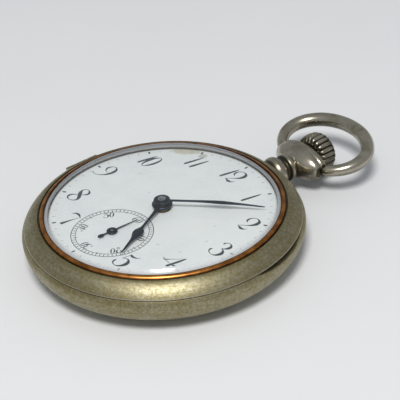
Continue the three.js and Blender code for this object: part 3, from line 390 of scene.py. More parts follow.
# A closed outline with each sharp corner turned into a short quadratic curve.
def eased(outline, reach=0.12):
    outline = np.asarray(outline, float)
    back, ahead = np.roll(outline, 1, 0) - outline, np.roll(outline, -1, 0) - outline
    lengthBack, lengthAhead = np.linalg.norm(back, axis=1), np.linalg.norm(ahead, axis=1)
    bend = np.degrees(np.arccos(np.clip(-(back * ahead).sum(1) / (lengthBack * lengthAhead), -1, 1)))
    size = np.minimum(reach, 0.42 * np.minimum(lengthBack, lengthAhead))[:, None]
    start, stop = outline + back / lengthBack[:, None] * size, outline + ahead / lengthAhead[:, None] * size
    t = np.linspace(0, 1, 5)[None, :, None]
    curve = (1 - t) ** 2 * start[:, None] + 2 * t * (1 - t) * outline[:, None] + t ** 2 * stop[:, None]
    sharp = bend > 20
    keep = np.ones(curve.shape[:2], bool)
    keep[~sharp, 1:] = False
    curve[~sharp, 0] = outline[~sharp]
    return curve[keep]


# Carries an outline of radius and height round the Z axis.
def turned(outline, angles):
    outline = np.asarray(outline, float)
    r, z = outline[:, 0], outline[:, 1]
    return np.stack([np.cos(angles)[:, None] * r, np.sin(angles)[:, None] * r,
                     np.zeros_like(angles)[:, None] + z], -1)


# Carries an outline of radius and distance round the stem's axis, which runs along +Y.
def turnedOnStem(outline, angles, scaleX=1.0, scaleZ=1.0):
    ring = turned(outline, angles)
    return np.stack([ring[..., 0] * scaleX, ring[..., 2], caseShape["stemZ"] - ring[..., 1] * scaleZ], -1)


def around(steps):
    return np.arange(steps) / steps * 2 * np.pi


# A smooth curve through points, sampled evenly; every column, such as a width, is carried along.
def smoothPath(points, count):
    p = np.asarray(points, float)
    ends = np.vstack([2 * p[0] - p[1], p, 2 * p[-1] - p[-2]])
    t = np.linspace(0, len(p) - 1, count)
    i = np.minimum(t.astype(int), len(p) - 2)
    f = (t - i)[:, None]
    a, b, c, d = ends[i], ends[i + 1], ends[i + 2], ends[i + 3]
    return 0.5 * (2 * b + (c - a) * f + (2 * a - 5 * b + 4 * c - d) * f ** 2 + (3 * b - a - 3 * c + d) * f ** 3)


# The case's outside is two super-ellipses that meet at the widest height.
caseShape = {
    "radius": 25.44, "widestZ": 6.68, "baseRadius": 13.5, "lowerPower": 2.2, "upperPower": 1.43,
    "ringOuter": 22.25, "ringOuterZ": 10.13, "stemZ": 5.5, "seamZ": 7.65, "bezelFromZ": 7.75, "backSeamZ": 3.05,
}


def lowerRadius(z):
    c = caseShape
    width, power = c["radius"] - c["baseRadius"], c["lowerPower"]
    return c["baseRadius"] + width * (1 - ((c["widestZ"] - z) / c["widestZ"]) ** power) ** (1 / power)


def upperRadius(z):
    c = caseShape
    width, power = c["radius"] - c["ringOuter"], c["upperPower"]
    rise = (z - c["widestZ"]) / (c["ringOuterZ"] - c["widestZ"])
    return c["ringOuter"] + width * (1 - rise ** power) ** (1 / power)


# Points of the lower outline for turns of 0 (widest) to 90 degrees (base), moved in along the normal.
def lowerArc(fromTurn, toTurn, steps, inset):
    c = caseShape
    turn = np.radians(np.linspace(fromTurn, toTurn, steps))
    power = 2 / c["lowerPower"]
    cosine, sine = np.maximum(np.cos(turn), 0), np.sin(turn)
    width = c["radius"] - c["baseRadius"]
    r, z = c["baseRadius"] + width * cosine ** power, c["widestZ"] * (1 - sine ** power)
    normalR, normalZ = cosine ** (2 - power) / width, -sine ** (2 - power) / c["widestZ"]
    length = np.hypot(normalR, normalZ)
    return np.stack([r - inset * normalR / length, z - inset * normalZ / length], -1)


# Angles round the case, closer together at the hinge, the nail notch and the stem.
def caseAngles():
    parts = [np.arange(0, 360, 1.25), np.arange(168, 192, 0.25), np.arange(1, 38, 0.5),
             np.arange(86, 94, 0.5)]
    return np.radians(np.unique(np.concatenate(parts)))


# Points inside a knuckle's clearance are pushed out to its wall, over one stretch along the hinge.
def pushedOut(grid, hinge, clear, fromY, toY):
    x, y, z = grid[..., 0], grid[..., 1], grid[..., 2]
    awayX, awayZ = x - hinge[0], z - hinge[1]
    away = np.maximum(np.hypot(awayX, awayZ), 1e-6)
    inside = (y > fromY) & (y < toY) & (away < clear) & (x < 0)
    grow = np.where(inside, clear / away, 1.0)
    return np.stack([hinge[0] + awayX * grow, y, hinge[1] + awayZ * grow], -1)


# A knuckle: a rounded ring profile round an axis along Y.
def knuckle(hinge, radius, bore, fromY, toY):
    outline = eased([(bore, fromY), (radius, fromY), (radius, toY), (bore, toY)], 0.12)
    ring = turned(outline, around(40))
    return np.stack([hinge[0] + ring[..., 0], ring[..., 2], hinge[1] + ring[..., 1]], -1), True, True


hinges = {"bezel": (-25.35, 7.7), "back": (-24.2, 3.0), "bezelRadius": 0.52, "backRadius": 0.7, "bore": 0.42,
          "clearance": 0.14}
notch = {"angle": 19.5, "half": 17.5, "depth": 0.62}


# The middle band of the case: a closed outline turned round Z, with its top lowered into a
# crescent for a fingernail.
def makeBand():
    c = caseShape
    low = np.linspace(c["backSeamZ"], c["widestZ"], 22)
    high = np.linspace(c["widestZ"], c["seamZ"], 12)[1:]
    outline = np.vstack([
        [(22, c["backSeamZ"])],
        np.stack([lowerRadius(low), low], -1),
        np.stack([upperRadius(high), high], -1),
        [(24.4, c["seamZ"]), (23.9, c["seamZ"]), (23.3, c["seamZ"]), (23.3, 8.5), (21.3, 8.5), (21.3, 7.95),
         (20.5, 7.95), (20.5, 6.75), (22, 6.75)],
    ])
    angles = caseAngles()
    grid = turned(eased(outline, 0.1), angles)
    share = (np.degrees(angles) - notch["angle"]) / notch["half"]
    floor = c["seamZ"] - notch["depth"] * np.clip(1 - share ** 2, 0, 1) ** 0.8
    radius = np.hypot(grid[..., 0], grid[..., 1])
    reach = (radius > 23.31) & (grid[..., 2] <= c["seamZ"] + 0.01)
    grid[..., 2] = np.where(reach, np.minimum(grid[..., 2], floor[:, None]), grid[..., 2])
    grid = pushedOut(grid, hinges["bezel"], hinges["bezelRadius"] + hinges["clearance"], -1.32, 1.32)
    grid = pushedOut(grid, hinges["back"], hinges["backRadius"] + hinges["clearance"], -2.33, 2.33)
    ends = [knuckle(hinges["bezel"], hinges["bezelRadius"], hinges["bore"], *span) for span in [(-3.4, -1.4),
            (1.4, 3.4)]]
    ends += [knuckle(hinges["back"], hinges["backRadius"], hinges["bore"], *span) for span in [(-3.4, -2.4),
            (2.4, 3.4)]]
    band = makePiece("caseBand", [(grid, True, True)] + ends, "worn_nickel", "case", ["case_band"])
    pierce(band, turnedOnStem([(0, 19), (1.1, 19), (1.1, 27), (0, 27)], around(32)))


# Cuts a round hole through a piece, and keeps its finish.
def pierce(piece, tool, way="DIFFERENCE"):
    cutter = bpy.data.meshes.new("tool")
    rows, columns = tool.shape[:2]
    cutter.from_pydata(tool.reshape(-1, 3) * mm, [], gridFaces(rows, columns, True, False, 0).tolist())
    work = bmesh.new()
    work.from_mesh(cutter)
    bmesh.ops.remove_doubles(work, verts=work.verts, dist=2e-7)
    bmesh.ops.recalc_face_normals(work, faces=work.faces)
    work.to_mesh(cutter)
    work.free()
    other = bpy.data.objects.new("tool", cutter)
    bpy.context.scene.collection.objects.link(other)
    change = piece.modifiers.new("cut", "BOOLEAN")
    change.operation, change.object, change.solver = way, other, "EXACT"
    result = bpy.data.meshes.new_from_object(piece.evaluated_get(bpy.context.evaluated_depsgraph_get()))
    piece.modifiers.clear()
    piece.data = result
    bpy.data.objects.remove(other)
    result.polygons.foreach_set("use_smooth", np.ones(len(result.polygons), bool))
    result.set_sharp_from_angle(angle=math.radians(38))


# The bezel: the upper outline turned round Z, with a rounded lower edge that catches the light.
def makeBezel():
    c = caseShape
    z = np.linspace(c["bezelFromZ"], c["ringOuterZ"], 30)
    outline = np.vstack([
        [(23.5, c["bezelFromZ"])], np.stack([upperRadius(z), z], -1),
        [(c["ringOuter"], 9.85), (20.8, 9.85), (20.8, 9.2), (21.6, 8.65), (23.5, 8.65)],
    ])
    grid = turned(eased(outline, 0.1), caseAngles())
    clear = hinges["bezelRadius"] + hinges["clearance"]
    grid = pushedOut(pushedOut(grid, hinges["bezel"], clear, -3.5, -1.2), hinges["bezel"], clear, 1.2, 3.5)
    middle = knuckle(hinges["bezel"], hinges["bezelRadius"], hinges["bore"], -1.1, 1.1)
    makePiece("bezelShell", [(grid, True, True), middle], "worn_nickel", "bezel", ["bezel"])


# The ring that holds the crystal, a little slimmer than its seat so that a dark groove shows round it.
def makeRing():
    outline = eased([(21.16, 9.9), (22.08, 9.9), (22.08, 10.0), (21.95, 10.2), (21.75, 10.38), (21.5, 10.48),
                     (21.16, 10.46)], 0.05)
    makePiece("bezelRing", [(turned(outline, around(420)), True, True)], "copper", "bezel", ["bezel_ring"])


# The crystal: an outer and an inner dome, turned round Z and closed at the pole.
def makeCrystal():
    outer = smoothPath([(21.0, 10.3), (20.6, 10.72), (19.8, 11.2), (17, 11.74), (13, 12.12), (9, 12.37),
                        (4.5, 12.51), (0, 12.56)], 60)
    inner = smoothPath([(0, 12.05), (4.5, 12.01), (9, 11.87), (13, 11.6), (17, 11.22), (19.2, 10.82),
                        (20.2, 10.35), (20.5, 9.92)], 60)
    outer[-1, 0] = inner[0, 0] = 0
    outline = np.vstack([inner, [(21.08, 9.92), (21.1, 10.15)], outer])
    makePiece("crystalDome", [(turned(outline, around(240)), True, False)], "crystal_glass", "bezel",
              ["crystal"])


# The back: the lower outline turned round Z, a thin shell closed at both poles, with its hinge knuckle.
def makeBack():
    outer = lowerArc(90, 31.8, 60, 0)
    inner = lowerArc(36, 90, 40, 0.55)
    line = np.array([(0, 0), (11.6, 0), (11.7, 0.05), (11.8, 0), (12.2, 0), (12.3, 0.05), (12.4, 0)])
    outline = np.vstack([line, outer, [(outer[-1, 0] - 0.8, outer[-1, 1])], inner, [(0, 0.55)]])
    grid = turned(outline, caseAngles())
    clear = hinges["backRadius"] + hinges["clearance"]
    grid = pushedOut(pushedOut(grid, hinges["back"], clear, -3.5, 0.0), hinges["back"], clear, 2.2, 3.5)
    makePiece("backShell", [(grid, True, False), knuckle(hinges["back"], hinges["backRadius"],
                                                         hinges["bore"], 0.1, 2.1)], "worn_nickel", "back",
                                                         ["back_cover"])


# The dust cover: the same outline further in, on its own knuckle and arm.
def makeDustCover():
    outline = np.vstack([[(0, 0.85)], lowerArc(90, 42, 50, 0.85), lowerArc(45, 90, 50, 1.15), [(0, 1.15)]])
    arm = np.array([(-24.05, 2.45), (-24.05, 2.85), (-21.9, 2.85), (-21.9, 2.45)])
    arm = np.stack([np.stack([arm[:, 0], np.full(4, y), arm[:, 1]], -1) for y in (-2.05, -2.05, -0.25,
            -0.25)])
    arm[0], arm[-1] = arm[0].mean(0), arm[-1].mean(0)
    surfaces = [(turned(outline, around(240)), True, False), (arm, False, True),
                knuckle(hinges["back"], 0.7, 0.42, -2.1, -0.2)]
    makePiece("dustShell", surfaces, "gilt_turned", "dust", ["dust_cover"])


# Neck beads turned on the stem's axis, and the bow's head: an oval bell that flares to a rounded rim.
pendantShape = {
    "neck": [(1.32, 24.3), (2.76, 24.3), (2.78, 25.2), (2.9, 25.5), (3.1, 25.9), (3.16, 26.3), (3.1, 26.75),
             (2.86, 27.2), (2.5, 27.52), (2.14, 27.72),
             (2.02, 27.95), (2.04, 28.22), (2.22, 28.42), (2.52, 28.58), (2.68, 28.92), (2.66, 29.3), (2.5,
                     29.62), (2.3, 29.84), (2.2, 30.1), (2.4, 30.5),
             (1.32, 31.2)],
    "head": [(0.0, 29.95), (0.42, 29.98), (0.58, 30.15), (0.70, 30.5), (0.80, 30.95), (0.885, 31.4),
             (0.94, 31.8), (0.965, 32.2), (0.97, 32.6),
             (0.955, 32.82), (0.965, 33.0), (0.995, 33.15), (1.0, 33.5), (0.975, 33.9), (0.91, 34.22), (0.78,
                     34.4), (0.6, 34.46), (0.0, 34.48)],
    "halfX": 6.15, "halfZ": 3.3, "endX": 5.7, "bore": 1.3, "socket": 0.86, "bowAxisY": 33.4,
}


def makePendant():
    p, c = pendantShape, caseShape
    neck = turnedOnStem(smoothLoop(p["neck"]), around(96))
    head = turnedOnStem(smoothPath(p["head"], 120), around(160), p["halfX"], p["halfZ"])
    head[..., 0] = np.clip(head[..., 0], -p["endX"], p["endX"])  # the two ends are cut flat
    made = makePiece("pendantNeck", [(neck, True, True)], "bright_nickel", "case", ["pendant"], sharp=50)
    pierce(made, head, "UNION")
    pierce(made, turnedOnStem([(0, 22), (p["bore"], 22), (p["bore"], 36), (0, 36)], around(40)))
    for side in (-1, 1):
        hole = turned([(0, 4.75), (p["socket"], 4.75), (p["socket"], 7), (0, 7)], around(32))
        pierce(made, np.stack([side * hole[..., 2], p["bowAxisY"] + hole[..., 0], c["stemZ"] + hole[..., 1]],
                              -1))


# A closed outline made smooth by carrying a curve through all its points but keeping its bore straight.
def smoothLoop(outline):
    outline = np.asarray(outline, float)
    return np.vstack([outline[:1], smoothPath(outline[1:-1], 80), outline[-1:]])


# The bow: a round wire whose radius swells towards its middle, carried along most of an ellipse
# and in to two pivots.
bowShape = {"halfX": 9.42, "halfY": 6.98, "centre": 5.58, "tilt": 9.7, "pivot": 0.72, "shoulder": 0.88,
            "middle": 1.36}


def makeBow():
    b, p, c = bowShape, pendantShape, caseShape
    turn = np.radians(np.linspace(41, 319, 31))
    ellipse = np.stack([b["halfX"] * np.sin(turn), b["centre"] - b["halfY"] * np.cos(turn)], -1)
    route = np.vstack([[(4.85, 0.0), (5.45, 0.02)], ellipse, [(-5.45, 0.02), (-4.85, 0.0)]])
    route = smoothPath(route, 220)
    share = np.linspace(-1, 1, len(route))
    wire = b["shoulder"] + (b["middle"] - b["shoulder"]) * (1 - np.abs(share) ** 2.6)
    wire = np.where(np.abs(route[:, 0]) < 5.75, np.where(route[:, 1] < 1.0, b["pivot"], wire), wire)
    wire = np.convolve(np.pad(wire, 3, "edge"), np.ones(7) / 7, "valid")
    along = np.gradient(route, axis=0)
    along /= np.linalg.norm(along, axis=1)[:, None]
    across = np.stack([-along[:, 1], along[:, 0]], -1)
    spin = around(40)
    flat = route[:, None] + across[:, None] * (wire[:, None] * np.cos(spin))[..., None]
    height = wire[:, None] * np.sin(spin)
    flat, height = np.concatenate([route[:1, None].repeat(40, 1), flat,
                                   route[-1:, None].repeat(40, 1)]), np.pad(height, ((1, 1), (0, 0)))
    tilt = math.radians(b["tilt"])
    y = p["bowAxisY"] + flat[..., 1] * math.cos(tilt) - height * math.sin(tilt)
    z = c["stemZ"] + flat[..., 1] * math.sin(tilt) + height * math.cos(tilt)
    makePiece("bowWire", [(np.stack([flat[..., 0], y, z], -1), False, True)], "bright_nickel", "bow",
              ["bow"], sharp=60)


# The crown: a barrel profile turned on the stem's axis, with rounded flutes that fade out at both ends.
crownShape = {
    "outline": [(0.86, 35.0), (2.4, 35.0), (3.0, 35.05), (3.42, 35.25), (3.72, 35.62), (3.86, 36.1),
                (3.92, 36.7), (3.9, 37.3), (3.78, 37.9), (3.52, 38.45),
                (3.1, 38.85), (2.5, 39.08), (1.6, 39.18), (0.0, 39.2)],
    "flutes": 22, "depth": 0.46,
}


def makeCrown():
    w = crownShape
    bore = np.array([(0.0, 38.4), (0.86, 38.4), (0.86, 36.5)])
    outline = np.vstack([bore, smoothPath(w["outline"], 90)])
    angles = around(w["flutes"] * 16)
    grid = turned(outline, angles)
    ridge = np.abs(np.cos(angles * w["flutes"] / 2)) ** 0.8
    fade = np.clip((outline[:, 0] - 2.95) / 0.55, 0, 1) ** 0.8
    shrink = 1 - w["depth"] / 3.9 * (1 - ridge)[:, None] * fade
    grid[..., :2] *= shrink[..., None]
    grid = np.stack([grid[..., 0], grid[..., 2], caseShape["stemZ"] - grid[..., 1]], -1)
    makePiece("crownBarrel", [(grid, True, False)], "bright_nickel", "stem", ["crown"], sharp=55)


dialShape = {"bottomZ": 8.87, "topZ": 9.67, "radius": 20.45, "hole": 1.5, "secondsY": -11.09,
             "secondsHole": 0.5}


# The dial: a flat ring with a rolled rim, pierced for the small seconds.
def makeDial():
    d = dialShape
    rim = [(d["radius"], d["bottomZ"]), (d["radius"], 9.45), (20.4, 9.56), (20.25, 9.63), (20.0, 9.66),
           (19.7, d["topZ"])]
    outline = np.array([(d["hole"], d["bottomZ"])] + rim + [(10, d["topZ"]), (d["hole"] + 0.05, d["topZ"]),
                                                            (d["hole"], d["topZ"] - 0.05)])
    dial = makePiece("enamelDial", [(turned(outline, around(240)), True, True)], "enamel", "case", ["dial"])
    hole = turned([(0, 8), (d["secondsHole"], 8), (d["secondsHole"], 11), (0, 11)], around(32))
    pierce(dial, hole + [0, d["secondsY"], 0])


# Pen strokes: each a row of x, y and half width; together they make the figures, each about 4.3 high.
figures = {
    "0": [[(0.28, 2.1, .04), (0.78, 1.5, .12), (0.86, 0.5, .2), (0.66, -0.7, .2), (0.2, -1.7, .1),
           (-0.28, -2.1, .04), (-0.76, -1.5, .12), (-0.86, -0.5, .2),
           (-0.66, 0.7, .2), (-0.2, 1.7, .1), (0.28, 2.1, .04)]],
    "1": [[(0.5, 2.0, .02), (0.38, 1.4, .12), (0.14, 0.4, .17), (-0.1, -0.6, .2), (-0.32, -1.5, .2),
           (-0.42, -1.95, .15), (-0.45, -2.05, .04)]],
    "2": [[(-0.5, 0.0, .03), (-0.95, 0.35, .12), (-1.1, 0.85, .15), (-0.95, 1.4, .09), (-0.4, 1.9, .05),
           (0.3, 1.95, .1), (0.92, 1.5, .22), (1.02, 0.8, .27),
           (0.75, 0.1, .18), (0.1, -0.65, .07), (-0.6, -1.3, .045), (-1.1, -1.72, .05)],
          [(-1.1, -1.72, .04), (-0.6, -1.78, .1), (-0.1, -1.95, .2), (0.4, -1.9, .15), (0.8, -1.6, .06),
           (0.98, -1.2, .02)]],
    "3": [[(-0.62, 1.2, .05), (-0.78, 1.45, .12), (-0.62, 1.85, .08), (-0.15, 2.12, .05), (0.42, 1.98, .1),
           (0.82, 1.5, .22), (0.78, 0.95, .22), (0.4, 0.42, .09), (-0.02, 0.12, .04)],
          [(-0.02, 0.12, .04), (0.5, 0.05, .08), (1.02, -0.5, .22), (1.12, -1.1, .26), (0.82, -1.75, .17),
           (0.25, -2.12, .06), (-0.45, -2.12, .05), (-1.05, -1.75, .08),
           (-1.25, -1.25, .13), (-1.08, -0.9, .06)]],
    "4": [[(1.05, 2.05, .02), (0.86, 1.3, .15), (0.66, 0.3, .2), (0.42, -0.8, .2), (0.22, -1.6, .2),
           (0.14, -1.82, .08)],
          [(1.05, 2.05, .02), (0.2, 1.1, .035), (-0.7, 0.1, .045), (-1.4, -0.62, .1), (-1.75, -0.72, .07),
           (-2.2, -0.38, .02)],
          [(-1.5, -0.72, .03), (-0.6, -0.82, .035), (0.5, -0.86, .04), (0.98, -0.84, .13), (1.14, -0.72, .1),
           (1.2, -0.55, .02)]],
    "5": [[(-0.62, 1.95, .03), (-0.4, 1.86, .13), (0.0, 1.74, .17), (0.5, 1.82, .13), (1.0, 2.05, .07),
           (1.42, 2.45, .02)],
          [(-0.5, 1.8, .03), (-0.62, 1.1, .035), (-0.78, 0.2, .04)],
          [(-0.78, 0.2, .04), (-0.35, 0.6, .05), (0.3, 0.66, .1), (0.88, 0.15, .24), (1.0, -0.6, .27),
           (0.6, -1.5, .15), (-0.15, -1.92, .06), (-0.95, -1.72, .08), (-1.3, -1.15, .14),
           (-1.12, -0.72, .05)]],
    "7": [[(-1.15, 1.3, .03), (-0.9, 1.7, .1), (-0.4, 1.95, .15), (0.15, 1.9, .16), (0.6, 1.72, .09),
           (1.0, 1.6, .03)],
          [(1.0, 1.6, .03), (0.75, 0.9, .04), (0.5, 0.0, .09), (0.3, -0.9, .16), (0.15, -1.6, .22),
           (0.08, -2.0, .25), (0.06, -2.12, .1)]],
    "8": [[(-0.62, 1.05, .2), (-0.75, 1.55, .09), (-0.35, 2.05, .05), (0.3, 2.12, .08), (0.95, 1.6, .17),
           (0.95, 1.05, .15), (0.5, 0.45, .06), (-0.3, -0.15, .05), (-0.95, -0.75, .12),
           (-1.15, -1.4, .17), (-0.8, -1.95, .1), (-0.1, -2.15, .05), (0.7, -1.8, .08), (1.02, -1.15,
                   .16), (0.75, -0.55, .24), (0.1, 0.1, .27), (-0.5, 0.75, .24), (-0.66, 1.15, .15)]],
    "9": [[(0.5, 0.1, .03), (-0.15, -0.05, .04), (-0.72, 0.35, .1), (-0.95, 0.95, .16), (-0.7, 1.65, .09),
           (-0.2, 2.05, .05), (0.4, 1.95, .1), (0.9, 1.3, .22),
           (0.98, 0.4, .25), (0.7, -0.6, .17), (0.1, -1.4, .08), (-0.7, -1.95, .05), (-1.5, -2.0,
                   .05), (-1.95, -1.8, .09)]],
}
figures["6"] = [[(-x, -y, w) for x, y, w in stroke] for stroke in figures["9"]]


# A thin raised ribbon along a stroke: a low rounded section, as wide as the stroke's own width says.
def ribbon(stroke, place, turn, scale, height, count, widen=1.0):
    path = smoothPath(stroke, count)
    along = np.gradient(path[:, :2], axis=0)
    along /= np.maximum(np.linalg.norm(along, axis=1), 1e-9)[:, None]
    across = np.stack([-along[:, 1], along[:, 0]], -1)
    half = np.maximum(path[:, 2], 0.012) * widen
    half[[0, -1]] = 0
    section = np.array([(-1, -0.3), (-0.85, 0.6), (0, 1.0), (0.85, 0.6), (1, -0.3)])
    flat = (path[:, None, :2] + across[:, None] * (half[:, None] * section[:, 0])[..., None]) * scale
    cosine, sine = math.cos(turn), math.sin(turn)
    x = place[0] + flat[..., 0] * cosine - flat[..., 1] * sine
    y = place[1] + flat[..., 0] * sine + flat[..., 1] * cosine
    z = dialShape["topZ"] + height * section[:, 1] * np.where(half > 0, 1, 0)[:, None]
    return np.stack([x, y, z], -1), False, True


def figure(text, place, turn, scale, height, count, gap, widen=1.0):
    surfaces = []
    for number, letter in enumerate(text):
        shift = (number - (len(text) - 1) / 2) * gap
        spot = (place[0] + shift * math.cos(turn), place[1] + shift * math.sin(turn))
        surfaces += [ribbon(stroke, spot, turn, scale, height, count, widen) for stroke in figures[letter]]
    return surfaces


printShape = {
    "hours": {"12": (0.15, 16.15, 1.95), "1": (8.25, 13.7, 0), "2": (14.45, 8.0, 0), "3": (16.95, -0.45, 0),
              "4": (14.25, -8.55, 0), "5": (8.3, -14.6, 0),
              "7": (-8.75, -14.05, 0), "8": (-14.15, -8.35, 0), "9": (-17.0, 0.0, 0), "10": (-14.6, 8.15,
                      1.35), "11": (-7.95, 14.1, 1.55)},
    "height": 0.022, "tickFrom": 19.05, "tickTo": 19.75, "tick": 0.055, "fiveTick": 0.19,
    "secondsRadius": 7.25, "secondsInner": 6.48, "secondsText": 5.62,
}


# Numerals, minute marks and the small seconds scale, printed a hair above the enamel.
def makePrinting():
    s = printShape
    hours = []
    for text, (x, y, gap) in s["hours"].items():
        hours += figure(text, (x, y), 0, 1.0, s["height"], 56, gap, 1.45)
    makePiece("hourNumerals", hours, "ink", "case", sharp=60)
    marks, bold = [], []
    for minute in range(60):
        angle = math.radians(90 - 6 * minute)
        if minute % 5 == 0:
            stroke = [(s["tickFrom"] - 0.05, 0, .02), (s["tickFrom"] + 0.15, 0, s["fiveTick"]),
                      (s["tickTo"] - 0.1, 0, s["fiveTick"]), (s["tickTo"] + 0.1, 0, .02)]
            bold.append(ribbon(stroke, (0, 0), angle, 1.0, s["height"], 9))
        else:
            stroke = [(s["tickFrom"], 0, s["tick"]), (s["tickTo"], 0, s["tick"])]
            marks.append(ribbon(stroke, (0, 0), angle, 1.0, s["height"] * 0.7, 4))
    centre = (0, dialShape["secondsY"])
    scale = []
    for second in range(60):
        angle = math.radians(90 - 6 * second)
        inner = s["secondsInner"] - (0.5 if second % 10 == 5 else 0)
        scale.append(ribbon([(inner, 0, .075), (s["secondsRadius"], 0, .075)], centre, angle, 1.0,
                            s["height"] * 0.7, 4))
    for radius, half in ((s["secondsRadius"], 0.075), (s["secondsInner"], 0.06)):
        outline = [(radius - half, 9.66), (radius - half * 0.8, 9.685), (radius + half * 0.8, 9.685),
                   (radius + half, 9.66)]
        scale.append((turned(outline, around(144)) + [0, centre[1], 0], True, True))
    makePiece("minuteMarks", marks, "paleInk", "case", sharp=60)
    small = []
    for place, text in enumerate(("60", "10", "20", "30", "40", "50")):
        angle = math.radians(90 - 60 * place)
        spot = (s["secondsText"] * math.cos(angle), centre[1] + s["secondsText"] * math.sin(angle))
        small += figure(text, spot, angle - math.pi / 2, 0.37, s["height"] * 0.8, 30, 1.0, 1.75)
    makePiece("fiveMinuteMarks", bold, "ink", "case", sharp=60)
    makePiece("smallSecondsScale", scale, "ink", "case", sharp=60)
    makePiece("smallSecondsFigures", small, "ink", "case", sharp=60)


# A hand: a low rounded section carried out along its length, as wide as its outline says, over a turned hub.
hands = {
    "hour": {"outline": [(0, .42), (2.2, .36), (5.5, .25), (7.6, .25), (8.2, .45), (8.8, .84), (9.6, .92),
                         (10.3, .74), (11.1, .46), (12.2, .28), (14.2, .17), (15.9, .03)],
             "top": 10.8, "thick": 0.2, "fall": 0.3, "fallFrom": 3.0, "turn": 154, "at": (0,
                     0), "body": "hour",
             "hub": [(1.22, 10.05), (1.4, 10.05), (1.6, 10.3), (1.86, 10.5), (1.86, 10.72), (1.74, 10.86),
                     (1.5, 10.9), (1.22, 10.9)]},
    "minute": {"outline": [(0, .34), (2, .27), (5, .26), (8, .36), (10.2, .48), (11.6, .44), (14, .27),
                           (16.5, .17), (18.4, .05)],
               "top": 11.5, "thick": 0.18, "fall": 0.8, "fallFrom": 7.0, "turn": 47, "at": (0,
                       0), "body": "centre",
               "hub": [(0.78, 11.14), (1.4, 11.14), (1.5, 11.24), (1.5, 11.5), (1.38, 11.68), (1.1, 11.76),
                       (0.78, 11.76)]},
    "seconds": {"outline": [(-2.97, .03), (-2.75, .3), (-2.4, .42), (-2.0, .36), (-1.65, .15), (-1.0, .13),
                            (0, .14), (2, .13), (5.55, .04)],
                "top": 10.14, "thick": 0.14, "fall": 0.0, "fallFrom": 0.0, "turn": 3, "at": (0,
                        -11.09), "body": "fourth",
                "hub": [(0.27, 9.9), (0.86, 9.9), (0.98, 9.98), (0.98, 10.12), (0.84, 10.22), (0.27, 10.26)]},
}


def makeHand(name, h):
    path = smoothPath(h["outline"], 90)
    y, half = path[:, 0], np.maximum(path[:, 1], 0.02)
    half[[0, -1]] = 0
    share = np.maximum(0, (y - h["fallFrom"]) / (y[-1] - h["fallFrom"]))
    fall = h["fall"] * share ** (1.7 if h["fall"] > 0.5 else 1.0)
    section = np.array([(-1, -1), (-1, -0.45), (-0.82, -0.1), (-0.4, 0.0), (0.4, 0.0), (0.82, -0.1),
                        (1, -0.45), (1, -1)])
    x = half[:, None] * section[:, 0]
    z = h["top"] - fall[:, None] + h["thick"] * section[:, 1] * np.where(half > 0, 1, 0.5)[:, None]
    blade = np.stack([x, np.zeros_like(x) + y[:, None], z], -1)
    hub = turned(eased(h["hub"], 0.05), around(48))
    turn = -math.radians(h["turn"])
    spun = []
    for grid in (blade, hub):
        spun.append(np.stack([grid[..., 0] * math.cos(turn) - grid[..., 1] * math.sin(turn) + h["at"][0],
                              grid[..., 0] * math.sin(turn) + grid[...,
                                      1] * math.cos(turn) + h["at"][1], grid[..., 2]], -1))
    makePiece(name + "Hand", [(spun[0], False, True), (spun[1], True, True)], "blued_steel", h["body"],
              [name + "_hand"], sharp=50)


# Carried-over solids of the movement keep their shape; their edges are welded and softly broken.
innerLook = {
    "gilt_brass": (["barrel_bridge", "train_bridge", "balance_cock", "pallet_bridge"], "gilt_brass", 0.07),
    "gilt_plate": (["main_plate"], "gilt_brass", 0.07),
    "brass": (["barrel", "barrel_cover", "centre_wheel", "third_wheel", "fourth_wheel", "balance_wheel",
               "minute_wheel", "hour_wheel"], "brass", 0.03),
    "steel": (["bezel_hinge_pin", "back_hinge_pin", "winding_stem", "winding_pinion", "clutch_wheel",
               "setting_lever", "clutch_lever", "barrel_arbor", "ratchet_wheel", "crown_wheel",
               "click", "click_spring", "centre_arbor", "third_pinion", "fourth_pinion", "escape_pinion",
               "escape_wheel", "pallet_fork", "balance_staff", "regulator",
               "setting_wheel", "cannon_pinion"], "steel", 0.03),
    "blued_steel": (["mainspring", "hairspring", "barrel_bridge_screw_1", "barrel_bridge_screw_2",
                     "train_bridge_screw_1", "train_bridge_screw_2", "case_screw_1", "case_screw_2",
                     "balance_cock_screw", "pallet_bridge_screw", "ratchet_screw", "crown_wheel_core"], "blued_steel", 0.03),
}


def dressMovement():
    for finish, (names, slot, edge) in innerLook.items():
        for name in names:
            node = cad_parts[name]
            node.data.materials.clear()
            node.data.materials.append(finishes[finish])
            weld = node.modifiers.new("weld", "WELD")
            weld.merge_threshold = 1e-6
            soften = node.modifiers.new("edges", "BEVEL")
            soften.width, soften.segments = edge * mm, 2
            soften.limit_method, soften.angle_limit = "ANGLE", math.radians(40)


def makeStage():
    floor = bpy.data.meshes.new("floor")
    floor.from_pydata([(-3, -3, 0), (3, -3, 0), (3, 3, 0), (-3, 3, 0)], [], [(0, 1, 2, 3)])
    ground = bpy.data.objects.new("floor", floor)
    bpy.context.scene.collection.objects.link(ground)
    f = Finish("pale_paper", Metallic=0.0)
    cloud = f.noise(0.03, 4.0, 0.6)
    f.set(Base_Color=f.mixed(cloud, (0.81, 0.82, 0.835), (0.775, 0.785, 0.80)), Roughness=0.75 + cloud * 0.1)
    floor.materials.append(f.material)


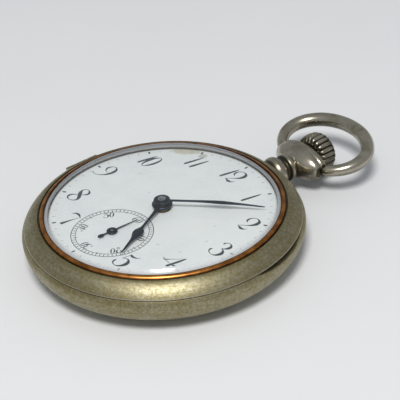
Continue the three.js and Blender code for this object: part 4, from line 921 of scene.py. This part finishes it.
lightLook = {
    "keyWay": (0.47, -0.41, 1.0),
    "keyAway": 0.75,
    "keySize": 0.2,
    "keyPower": 4.0,
    "sky": 0.385,
}


def areaLight(name, place, size, power, colour=(1, 1, 1), aim=(0, 8, 5)):
    lamp = bpy.data.lights.new(name, "AREA")
    lamp.shape, lamp.size, lamp.energy, lamp.color = "DISK", size, power, colour
    made = bpy.data.objects.new(name, lamp)
    bpy.context.scene.collection.objects.link(made)
    target = Vector(aim) * mm
    made.location = place
    made.rotation_euler = (target - made.location).to_track_quat("-Z", "Y").to_euler()


def makeLights():
    look = lightLook
    way = Vector(look["keyWay"]).normalized()
    areaLight("key", way * look["keyAway"], look["keySize"], look["keyPower"], (1.0, 0.985, 0.96))
    world = bpy.data.worlds.new("studio")
    bpy.context.scene.world = world
    world.use_nodes = True
    world.node_tree.nodes["Background"].inputs[0].default_value = (0.93, 0.965, 1.0, 1)
    world.node_tree.nodes["Background"].inputs[1].default_value = look["sky"]


# The view from which the watch is shown: right, up and back axes, place and lens.
viewShape = {"place": (188.738, -130.565, 160.081), "aim": (-7.56, 13.949, 1.5),
             "up": (-0.39537414, 0.38038793, 0.83605281), "lens": 138.65}


def makeCamera():
    v = viewShape
    place, aim = Vector(v["place"]), Vector(v["aim"])
    back = (place - aim).normalized()
    right = Vector(v["up"]).cross(back).normalized()
    up = back.cross(right)
    lens = bpy.data.cameras.new("camera")
    lens.lens, lens.sensor_width, lens.clip_start, lens.clip_end = v["lens"], 36, 0.01, 20
    camera = bpy.data.objects.new("camera", lens)
    bpy.context.scene.collection.objects.link(camera)
    camera.matrix_world = Matrix((right, up, back)).transposed().to_4x4()
    camera.location = place * mm
    bpy.context.scene.camera = camera
    bpy.context.scene.view_settings.view_transform = "Standard"


makeBand()
makeBezel()
makeRing()
makeCrystal()
makeBack()
makeDustCover()
print("case made")
makePendant()
makeBow()
makeCrown()
print("pendant, bow and crown made")
makeDial()
makePrinting()
for handName, handShape in hands.items():
    makeHand(handName, handShape)
print("dial and hands made")
dressMovement()
makeStage()
makeLights()
makeCamera()
print("movement dressed, stage set")
